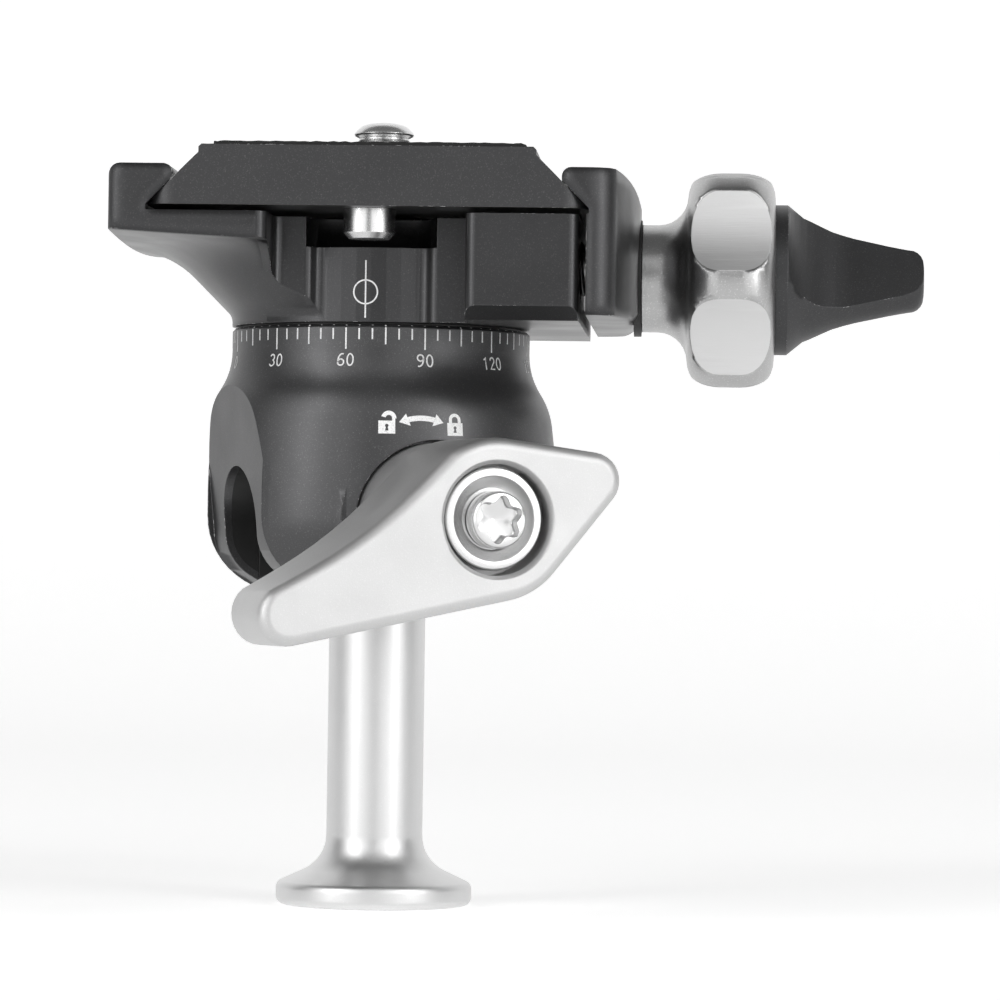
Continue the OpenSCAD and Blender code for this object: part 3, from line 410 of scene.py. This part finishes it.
def groove_share(vert):
    """How deep in a rounded screw thread a turned point lies: 0 on the crest, 1 at the root."""
    turn = vert.co.z / MM / THREAD_PITCH - math.atan2(vert.co.y, vert.co.x) / math.tau
    away = abs(2 * (turn % 1.0) - 1)
    flank = min(1.0, max(0.0, (away - 0.15) / 0.7))
    return flank * flank * (3 - 2 * flank)


# Tip of the camera screw as (depth below its top, radius): dome, shoulder, relief, first thread
SCREW_TIP = [(0.03, 0.9), (0.12, 1.45), (0.28, 1.9), (0.32, 2.02), (0.55, 2.3), (0.85, 2.6)]
SCREW_TIP += [(1.05, 2.7), (1.2, 2.62), (1.42, 2.2), (1.55, 2.2), (1.9, 2.75), (2.1, 3.1)]


def camera_screw():
    """Camera screw: domed tip, relief and rolled thread on the CAD node's coin-slotted head."""
    low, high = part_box("camera_screw")
    head_top, top = low.z / MM + 2.5, high.z / MM
    shank_r, major_r, thread_depth = 2.9, 3.1, 0.78
    thread_low, thread_high, row = 66.0, top - SCREW_TIP[-1][0], 0.09
    outline = [(0, top)] + [(radius, top - depth) for depth, radius in SCREW_TIP]
    count = int((thread_high - thread_low) / row)
    outline += [(major_r, thread_high - row * i) for i in range(1, count)]
    outline += [(shank_r, thread_low), (shank_r, head_top), (0, head_top)]
    build = bmesh.new()
    revolve(build, outline, steps=72)
    for vert in build.verts:
        limit = major_r - thread_depth * groove_share(vert)
        threaded = thread_low * MM + MERGE_GAP < vert.co.z < (thread_high + 0.1) * MM
        if threaded and reach_of(vert) > limit:
            set_reach(vert, limit)
    machined(build, "camera_screw_thread", body=BODY_OF["camera_screw"], slot="bright_steel")
    head = merged("camera_screw")
    bmesh.ops.bisect_plane(
        head,
        geom=head.verts[:] + head.edges[:] + head.faces[:],
        plane_co=(0, 0, (head_top + 0.01) * MM),
        plane_no=(0, 0, 1),
        clear_outer=True,
    )
    bmesh.ops.holes_fill(head, edges=[edge for edge in head.edges if edge.is_boundary])
    machined(head, "camera_screw_head", node="camera_screw")


def span_in(node, matrix, axis):
    """Lowest and highest place of a node along one axis of a frame, in millimetres."""
    turned = matrix.inverted()
    places = [(turned @ vert.co)[axis] / MM for vert in NODES[node].data.vertices]
    return min(places), max(places)


def loop(build, radius_mm, height_mm, lobe_mm):
    """A closed ring of edges round Z; a lobe depth makes it the six-lobe shape of a driver."""
    ring = bmesh.ops.create_circle(build, segments=96, radius=radius_mm * MM)["verts"]
    for vert in ring:
        around = math.atan2(vert.co.y, vert.co.x)
        share = 1 + lobe_mm * (math.cos(6 * around - math.radians(126)) - 1) / radius_mm
        vert.co = (vert.co.x * share, vert.co.y * share, height_mm * MM)
    return list(dict.fromkeys(edge for vert in ring for edge in vert.link_edges))


def loft(build, rings):
    """Joins rings of (radius, height, lobe depth) one after the other, and closes both ends."""
    loops = [loop(build, *ring) for ring in rings]
    for near, far in zip(loops, loops[1:]):
        bmesh.ops.bridge_loops(build, edges=near + far)
    bmesh.ops.holes_fill(build, edges=[edge for edge in build.edges if edge.is_boundary])
    bmesh.ops.recalc_face_normals(build, faces=build.faces)


def lever_screw():
    """Pan-head screw of the lever, with a six-lobe socket that ends in a drilled cone."""
    low, high = span_in("lever_screw", LEVER_FRAME, 2)
    floor = span_in("lever_washer", LEVER_FRAME, 2)[0] + 2.2
    shank_r, head_r, shoulder, lobe_r, lobe = 1.98, 2.43, high - 0.62, 2.06, 0.27
    rings = [(1.7, low, 0), (shank_r, low + 0.3, 0), (shank_r, floor, 0)]
    rings += [(head_r - 0.05, floor, 0), (head_r, floor + 0.05, 0), (head_r, shoulder, 0)]
    rings += [
        (head_r - 0.34 * (1 - math.cos(turn)), shoulder + 0.5 * math.sin(turn), 0)
        for turn in map(math.radians, (22, 45, 68, 90))
    ]
    rings += [(lobe_r + 0.02, high - 0.1, lobe), (lobe_r - 0.03, high - 0.16, lobe)]
    rings += [(lobe_r - 0.05, high - 1.25, lobe), (lobe_r - 0.16, high - 1.35, lobe)]
    rings += [(1.1, high - 1.42, 0), (0.25, high - 1.75, 0)]
    build = bmesh.new()
    loft(build, rings)
    bmesh.ops.transform(build, matrix=LEVER_FRAME, verts=build.verts)
    bright = [MATERIALS["bright_steel"]]
    machined(build, "lever_screw_six_lobe", node="lever_screw", finishes=bright)


def lever_washer():
    """Dished finishing washer in the lever's recess: rolled rim, then a cone down to the screw."""
    floor = span_in("lever_washer", LEVER_FRAME, 2)[0]
    hole_r, dish_r, rim_r, roll, top = 2.02, 3.5, 4.35, 0.3, floor + 2.75
    outline = [(hole_r, floor), (rim_r - 0.1, floor), (rim_r, floor + 0.1)]
    outline += [
        (rim_r - roll * (1 - math.cos(turn)), top - roll + roll * math.sin(turn))
        for turn in map(math.radians, (0, 30, 60, 90))
    ]
    outline += [(dish_r + 0.12, top - 0.01), (dish_r, top - 0.1), (dish_r - 0.08, top - 0.22)]
    outline += [(2.6, floor + 2.02), (hole_r, floor + 2.0), (hole_r, floor)]
    build = bmesh.new()
    revolve(build, outline)
    # The loose washer rests up and to the left of its recess
    bmesh.ops.translate(build, verts=build.verts, vec=Vector((-0.12, 0.1, 0)) * MM)
    bmesh.ops.transform(build, matrix=LEVER_FRAME, verts=build.verts)
    bright = [MATERIALS["bright_steel"]]
    machined(build, "lever_washer_dished", node="lever_washer", finishes=bright)


def housing():
    """Housing: edges of the slot's flat kept crisp, and painted shade on the slot's bore behind a
    thin wall.
    """
    build = merged("housing")
    out = outward(math.radians(SLOT_AZ))
    side = Vector((-out.y, out.x, 0))
    sideways, facing_out = 0.2, 0.4

    def in_slot(place):
        across = abs(place.dot(side)) / MM
        above = max(0.0, place.z / MM - BALL_Z)
        return math.hypot(across, above) < SLOT_HALF and place.dot(out) > 0

    walls = [
        face
        for face in build.faces
        if abs(face.normal.dot(out)) < sideways and all(in_slot(vert.co) for vert in face.verts)
    ]
    lips = dict.fromkeys(
        near
        for face in walls
        for edge in face.edges
        for near in edge.link_faces
        if near.normal.dot(out) > facing_out
    )
    # Each lip, moved in by the wall's thickness, parts the bright wall from the bore that gets
    # painted shade
    planes = [(lip.verts[0].co - lip.normal * SLOT_SHADE_DEPTH * MM, lip.normal.copy()) for lip in lips]
    for place, facing in planes:
        cut = dict.fromkeys(
            item for face in walls for item in (face, *face.edges, *face.verts)
        )
        result = bmesh.ops.bisect_plane(
            build, geom=list(cut), plane_co=place, plane_no=facing, dist=MERGE_GAP
        )
        fresh = [item for item in result["geom"] if isinstance(item, bmesh.types.BMFace)]
        walls = list(dict.fromkeys(face for face in walls + fresh if face.is_valid))
    # Bore faces past that depth get the dark oxide colour as painted shade
    for face in walls:
        middle = face.calc_center_median()
        if all((middle - place).dot(facing) < 0 for place, facing in planes):
            face.material_index = 1
    finishes = [MATERIALS["grey_anodised"], BLACK_OXIDE_AND_BORE_SHADE]
    sharp = HOUSING_SHARP_ANGLE
    machined(build, "housing_finished", sharp=sharp, node="housing", finishes=finishes)


def clamp_body():
    """Clamp body: soft tumbled edges on its jaw, crisp ones on its middle and block."""
    build = merged("clamp_body")
    for face in build.faces:
        if face.calc_center_median().x > FIXED_JAW_IN_X * MM:
            face.material_index = 1
    machined(build, "clamp_body_finished", node="clamp_body", finishes=[TUMBLED, MILLED_BLACK])


def clamp_knob():
    """Clamp knob: satin turned body with six milled hollows, whose lighter colour is painted light.
    """
    build = merged("clamp_knob")
    turns = [math.radians(360 / HOLLOW_COUNT * i + HOLLOW_PHASE) for i in range(HOLLOW_COUNT)]
    centre = Vector((0, 0, KNOB_Z))
    axes = [
        (centre + Vector((0, math.cos(turn), math.sin(turn))) * HOLLOW_AXIS_R) * MM
        for turn in turns
    ]
    for face in build.faces:
        middle = face.calc_center_median()
        middle.x = 0
        off = min(abs((middle - axis).length / MM - HOLLOW_R) for axis in axes)
        # Faces on a hollow take the milled finish, whose lighter colour is painted light
        if off < HOLLOW_TOLERANCE:
            face.material_index = 1
    machined(build, "clamp_knob_finished", node="clamp_knob", finishes=[KNOB_SATIN, KNOB_MILLED_AND_LIT])


def plate_pad():
    """Rubber pad, moulded with a coarse grain that shows along its edge."""
    build = merged("plate_pad")
    low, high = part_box("plate_pad")
    step, grain_size, grain_depth = 0.5 * MM, 0.45 * MM, 0.16 * MM
    for axis in (0, 1):
        normal = Vector((0, 0, 0))
        normal[axis] = 1
        for i in range(1, int((high[axis] - low[axis]) / step) + 1):
            bmesh.ops.bisect_plane(
                build,
                geom=build.verts[:] + build.edges[:] + build.faces[:],
                plane_co=low + normal * step * i,
                plane_no=normal,
                dist=MERGE_GAP,
            )
    for vert in build.verts:
        if vert.co.z > high.z - MERGE_GAP:
            vert.co.z -= grain_depth * (0.5 + 0.5 * noise.noise(vert.co / grain_size))
    machined(build, "plate_pad_grained", node="plate_pad")


def stem():
    """Stem with a real thread in its foot's bore, which is widened to hold it."""
    bore_r, bore_h, thread_depth, row = 2.55, 8.5, 0.5, 0.1
    wide_r = bore_r + thread_depth
    build = merged("stem")
    for vert in build.verts:
        if abs(reach_of(vert) - bore_r) < 0.05 and vert.co.z / MM < bore_h + 0.05:
            set_reach(vert, wide_r)
    machined(build, "stem_finished", node="stem", finishes=[STEM_SATIN])
    outline = [(wide_r, 0.02)]
    outline += [(bore_r, 0.5 + row * i) for i in range(int((bore_h - 0.6) / row))]
    outline += [(wide_r, bore_h - 0.02)]
    sleeve = bmesh.new()
    revolve(sleeve, outline, steps=72)
    for vert in sleeve.verts:
        if reach_of(vert) < bore_r + 0.01:
            set_reach(vert, bore_r + thread_depth * groove_share(vert))
    bmesh.ops.reverse_faces(sleeve, faces=sleeve.faces)
    machined(sleeve, "foot_thread", body="stem", slot="silver_anodised")


def mark_mesh(curve, name):
    """Meshes a curve and removes the curve."""
    holder = placed(name, curve)
    bpy.context.view_layer.update()
    meshed = holder.evaluated_get(bpy.context.evaluated_depsgraph_get())
    mesh = bpy.data.meshes.new_from_object(meshed)
    bpy.data.objects.remove(holder)
    bpy.data.curves.remove(curve)
    return mesh


def flat_mark(name, outlines):
    """A flat filled shape from closed outlines in millimetres; inner outlines are holes."""
    curve = bpy.data.curves.new(name, "CURVE")
    curve.dimensions = "2D"
    curve.fill_mode = "BOTH"
    curve.extrude = MARK_THICKNESS / 2
    for outline in outlines:
        spline = curve.splines.new("POLY")
        spline.points.add(len(outline) - 1)
        for point, (x, y) in zip(spline.points, outline):
            point.co = (x, y, 0, 1)
        spline.use_cyclic_u = True
    return mark_mesh(curve, name)


def arc(cx, cy, rx, ry, a0, a1, count=14):
    """Points on an ellipse's arc, in degrees."""
    turns = [math.radians(a0 + (a1 - a0) * i / (count - 1)) for i in range(count)]
    return [(cx + rx * math.cos(turn), cy + ry * math.sin(turn)) for turn in turns]


def arc_band(cx, cy, r, width, a0, a1):
    """Outline of a band that follows an arc."""
    outer, inner = r + width / 2, r - width / 2
    return arc(cx, cy, outer, outer, a0, a1) + arc(cx, cy, inner, inner, a1, a0)


def bar(x0, y0, x1, y1):
    """Outline of an upright rectangle."""
    return [(x0, y0), (x1, y0), (x1, y1), (x0, y1)]


# Plain upright figures as pen strokes in a box 0.6 wide and 1 high, and the pitch of the boxes
FIGURE_WIDTH, FIGURE_PITCH = 0.6, 0.72
FIGURES = {
    "0": [arc(0.3, 0.5, 0.23, 0.435, 0, 360, 25)],
    "1": [[(0.13, 0.74), (0.24, 0.8), (0.33, 0.93), (0.33, 0.0)]],
    "2": [arc(0.3, 0.7, 0.22, 0.235, 175, -32) + [(0.08, 0.065), (0.55, 0.065)]],
    "3": [arc(0.28, 0.715, 0.2, 0.22, 165, -90), arc(0.28, 0.28, 0.235, 0.215, 90, -165)],
    "4": [[(0.42, 0.0), (0.42, 0.93), (0.06, 0.25), (0.58, 0.25)]],
    "5": [[(0.5, 0.93), (0.16, 0.93), (0.1, 0.5)] + arc(0.28, 0.33, 0.24, 0.265, 140, -155)],
    "6": [arc(0.3, 0.3, 0.235, 0.235, 0, 360, 21), arc(0.42, 0.3, 0.355, 0.635, 180, 75)],
    "7": [[(0.06, 0.93), (0.54, 0.93), (0.24, 0.0)]],
    "8": [arc(0.3, 0.715, 0.2, 0.215, 0, 360, 19), arc(0.3, 0.285, 0.235, 0.22, 0, 360, 21)],
    "9": [arc(0.3, 0.7, 0.235, 0.235, 0, 360, 21), arc(0.18, 0.7, 0.355, 0.635, 0, -105)],
}


def figures_mark(text, height_mm):
    """Figures of a dial drawn with one pen width, centred on their own middle."""
    curve = bpy.data.curves.new("figures_" + text, "CURVE")
    curve.dimensions = "3D"
    curve.bevel_depth = PEN_WIDTH / 2
    curve.bevel_resolution = 0
    curve.use_fill_caps = True
    for place, figure in enumerate(text):
        left = (place - len(text) / 2) * FIGURE_PITCH + (FIGURE_PITCH - FIGURE_WIDTH) / 2
        for stroke in FIGURES[figure]:
            closed = math.dist(stroke[0], stroke[-1]) < 1e-6
            spline = curve.splines.new("POLY")
            points = stroke[:-1] if closed else stroke
            spline.points.add(len(points) - 1)
            for point, (x, y) in zip(spline.points, points):
                point.co = ((x + left) * height_mm, (y - 0.5) * height_mm, 0, 1)
            spline.use_cyclic_u = closed
    return mark_mesh(curve, "figures_" + text)


def surface_of(node):
    """A search tree of a CAD node's faces."""
    build = bmesh.new()
    build.from_mesh(NODES[node].data)
    tree = BVHTree.FromBMesh(build)
    build.free()
    return tree


def wrap(build, mesh, tree, azimuth, z_mm):
    """Lays a flat mark round the head's axis on a turned surface, and adds it to the bmesh."""
    part = bmesh.new()
    part.from_mesh(mesh)
    bmesh.ops.remove_doubles(part, verts=part.verts, dist=MARK_GAP)
    bmesh.ops.triangulate(part, faces=part.faces)
    for _ in range(3):
        long_edges = [edge for edge in part.edges if edge.calc_length() > MARK_STEP]
        if not long_edges:
            break
        bmesh.ops.subdivide_edges(part, edges=long_edges, cuts=1)
        bmesh.ops.triangulate(part, faces=part.faces)
    turn = math.radians(azimuth)
    far = outward(turn)
    guess = tree.ray_cast(far * RAY_START + Vector((0, 0, z_mm * MM)), -far)[0]
    radius = Vector((guess.x, guess.y)).length
    for vert in part.verts:
        out = outward(turn + vert.co.x * MM / radius)
        level = Vector((0, 0, (z_mm + vert.co.y) * MM))
        lift = MARK_PROUD if vert.co.z > -MARK_GAP else -MARK_SUNK
        vert.co = tree.ray_cast(out * RAY_START + level, -out)[0] + out * lift * MM
    part.to_mesh(mesh)
    part.free()
    build.from_mesh(mesh)
    bpy.data.meshes.remove(mesh)


def marks_piece(build, name, body, slot):
    """Turns gathered marks into one white piece that rides with its metal."""
    bmesh.ops.recalc_face_normals(build, faces=build.faces)
    finish_piece(mesh_from(build, name), name, body=body, slot=slot, finishes=[MARKS])


def pan_scale():
    """Degree scale round the housing's neck: ticks each 5 degrees and figures each 30."""
    tree = surface_of("housing")
    build = bmesh.new()
    top_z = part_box("housing")[1].z / MM - 0.06
    figure_z, figure_h = 48.2, 1.16
    for degree in range(0, 360, 5):
        length = 2.1 if degree % 30 == 0 else 1.68 if degree % 15 == 0 else 1.25
        tick = flat_mark("tick", [bar(-MARK_LINE_HALF, -length, MARK_LINE_HALF, 0)])
        wrap(build, tick, tree, SCALE_AZ + degree, top_z)
    for degree in range(0, 360, 30):
        wrap(build, figures_mark(str(degree), figure_h), tree, SCALE_AZ + degree, figure_z)
    marks_piece(build, "pan_scale", "housing", "grey_anodised")


def padlock(opened):
    """Outlines of a padlock sign: body with its keyhole, then shackle, shut or swung open."""
    half_w, half_h = 0.73, 0.56
    keyhole = arc(0, 0.13, 0.15, 0.15, -55, 235, 12) + [(-0.15, -0.3), (0.15, -0.3)]
    body = [bar(-half_w, -half_h, half_w, half_h), keyhole]
    if opened:
        hook = arc_band(0.17, half_h + 0.2, 0.48, 0.38, 165, 0)
        leg = bar(0.46, half_h - 0.03, 0.73, half_h + 0.22)
        return [body, [hook], [leg]]
    hoop = arc_band(0, half_h + 0.26, 0.42, 0.28, 180, 0)
    legs = [[bar(x - 0.14, half_h - 0.03, x + 0.14, half_h + 0.28)] for x in (-0.42, 0.42)]
    return [body, [hoop]] + legs


def lock_signs():
    """Open and shut padlocks with a two-way arrow between them, above the lock lever."""
    tree = surface_of("housing")
    build = bmesh.new()
    middle, level = 17.6, 42.38
    for shape in padlock(opened=True):
        wrap(build, flat_mark("padlock", shape), tree, middle - 11.3, level - 0.07)
    for shape in padlock(opened=False):
        wrap(build, flat_mark("padlock", shape), tree, middle + 11.4, level - 0.16)
    sag_r = 4.7
    arrow = [arc_band(0, 0.33 - sag_r, sag_r, 0.46, 90 - 15, 90 + 15)]
    arrow += [[(side * 1.98, -0.04), (side * 1.37, 0.7), (side * 0.97, -0.34)] for side in (-1, 1)]
    for outline in arrow:
        wrap(build, flat_mark("arrow", [outline]), tree, middle, level + 0.42)
    marks_piece(build, "lock_signs", "housing", "grey_anodised")


def pan_index():
    """Index line and circle on the clamp's turned middle."""
    tree = surface_of("clamp_body")
    build = bmesh.new()
    azimuth, line_z, ring_z, line_half = -2.0, 54.35, 54.1, 2.5
    line = [bar(-MARK_LINE_HALF, -line_half, MARK_LINE_HALF, line_half)]
    wrap(build, flat_mark("index_line", line), tree, azimuth, line_z)
    ring = [arc(0, 0, r, r, 0, 352.5, 48) for r in (1.1, 0.97)]
    wrap(build, flat_mark("index_ring", ring), tree, azimuth, ring_z)
    marks_piece(build, "pan_index", "clamp", "black_anodised")


def paper_sweep():
    """White paper under and behind the head, in metres. It glows where the camera sees it."""
    reach, depth, height, bend = 3.0, 0.7, 1.6, 0.35
    build = bmesh.new()
    outline = [(-reach, 0.0), (depth - bend, 0.0)]
    outline += [
        (depth - bend + bend * math.sin(turn), bend - bend * math.cos(turn))
        for turn in map(math.radians, range(10, 91, 10))
    ]
    outline.append((depth, height))
    verts = [build.verts.new((-reach, y, z)) for y, z in outline]
    edges = [build.edges.new(pair) for pair in zip(verts, verts[1:])]
    swept = bmesh.ops.extrude_edge_only(build, edges=edges)
    moved = [item for item in swept["geom"] if isinstance(item, bmesh.types.BMVert)]
    bmesh.ops.translate(build, verts=moved, vec=(2 * reach, 0, 0))
    bmesh.ops.recalc_face_normals(build, faces=build.faces)
    mesh = mesh_from(build, "studio_sweep")
    mesh.shade_smooth()
    placed("studio_sweep", mesh)
    # White paper: plain and matt, a little brighter towards the back
    material, tree = new_material("white_paper")
    ray = add(tree, "ShaderNodeLightPath")
    seen = add(
        tree,
        "ShaderNodeMath",
        {"operation": "MAXIMUM"},
        {0: (ray, "Is Camera Ray"), 1: (ray, "Is Glossy Ray")},
    )
    place = (add(tree, "ShaderNodeTexCoord"), "Object")
    split = add(tree, "ShaderNodeSeparateXYZ", None, {0: place})
    far = add(
        tree,
        "ShaderNodeMapRange",
        {"From Min": -0.2, "From Max": 0.6, "To Min": 0.5, "To Max": 0.64},
        {"Value": (split, "Y")},
    )
    glow = add(tree, "ShaderNodeMath", {"operation": "MULTIPLY"}, {0: (seen, 0), 1: (far, 0)})
    paper = add(tree, "ShaderNodeBsdfDiffuse", {"Color": linear("E6E6E6")})
    light = add(tree, "ShaderNodeEmission", {"Color": (1, 1, 1, 1)}, {"Strength": (glow, 0)})
    both = add(tree, "ShaderNodeAddShader", None, {0: (paper, 0), 1: (light, 0)})
    add(tree, "ShaderNodeOutputMaterial", None, {"Surface": (both, 0)})
    mesh.materials.append(material)


def dark_room():
    """A dim room round the lamps, which the camera itself sees as white."""
    world = bpy.data.worlds.new("studio_room")
    world.use_nodes = True
    tree = world.node_tree
    tree.nodes.clear()
    ray = add(tree, "ShaderNodeLightPath")
    room = add(tree, "ShaderNodeBackground", {"Color": (1, 1, 1, 1), "Strength": 0.16})
    white = add(tree, "ShaderNodeBackground", {"Color": (1, 1, 1, 1), "Strength": 1.0})
    mix = add(
        tree, "ShaderNodeMixShader", None, {0: (ray, "Is Camera Ray"), 1: (room, 0), 2: (white, 0)}
    )
    add(tree, "ShaderNodeOutputWorld", None, {"Surface": (mix, 0)})
    bpy.context.scene.world = world


# Lamps as (name, azimuth in degrees, distance and width in metres, power in watts), and the
# height, level and aim that they share
LAMPS = (
    ("soft_box_left", -40, 0.7, 0.9, 2.7),
    ("soft_box_right", 42, 0.7, 0.9, 2.7),
    ("strip_left", -46, 0.66, 0.13, 1.05),
    ("strip_right", 51, 0.66, 0.13, 1.15),
)
LAMP_HEIGHT = 0.8
LAMP_LEVEL = Vector((0, 0, 0.28))
LAMP_AIM = Vector((0.01, 0, 0.04))


def lamps():
    """Two soft boxes beside the camera, each with a narrow strip in front of it."""
    for name, azimuth, away, width, power in LAMPS:
        lamp = bpy.data.lights.new(name, "AREA")
        lamp.shape = "RECTANGLE"
        lamp.size = width
        lamp.size_y = LAMP_HEIGHT
        lamp.energy = power
        box = placed(name, lamp)
        box.location = outward(math.radians(azimuth)) * away + LAMP_LEVEL
        box.rotation_euler = (LAMP_AIM - box.location).to_track_quat("-Z", "Y").to_euler()


def photo_camera():
    """The camera of the photograph."""
    lens = bpy.data.cameras.new("photo_camera")
    lens.sensor_width = SENSOR_MM
    lens.lens = CAMERA_FOCAL_PX / PHOTO_SIDE_PX * SENSOR_MM
    lens.clip_start = 0.01
    lens.clip_end = 20
    camera = placed("photo_camera", lens)
    camera.matrix_world = (
        Matrix.Translation(CAMERA_PLACE)
        @ Matrix.Rotation(CAMERA_TURN, 4, "Z")
        @ Matrix.Rotation(math.pi / 2 + CAMERA_RISE, 4, "X")
        @ Matrix.Rotation(CAMERA_ROLL, 4, "Z")
    )
    bpy.context.scene.camera = camera


# Nodes whose piece is made by its own function, and nodes whose finish isn't their slot's
SPECIAL = {
    "housing": housing,
    "clamp_body": clamp_body,
    "stem": stem,
    "clamp_knob": clamp_knob,
    "plate_pad": plate_pad,
    "lever_washer": lever_washer,
    "lever_screw": lever_screw,
    "camera_screw": camera_screw,
}
FINISH_OF = {"movable_jaw": TUMBLED, "thrust_washer": BLACK_OXIDE_AND_BORE_SHADE}

for node in sorted(NODES):
    if node in SPECIAL:
        SPECIAL[node]()
    else:
        finish = FINISH_OF.get(node, MATERIALS[SLOT_OF[node]])
        machined(merged(node), node + "_finished", node=node, finishes=[finish])
pan_scale()
lock_signs()
pan_index()
paper_sweep()
dark_room()
lamps()
photo_camera()
bpy.context.scene.view_settings.view_transform = "Standard"
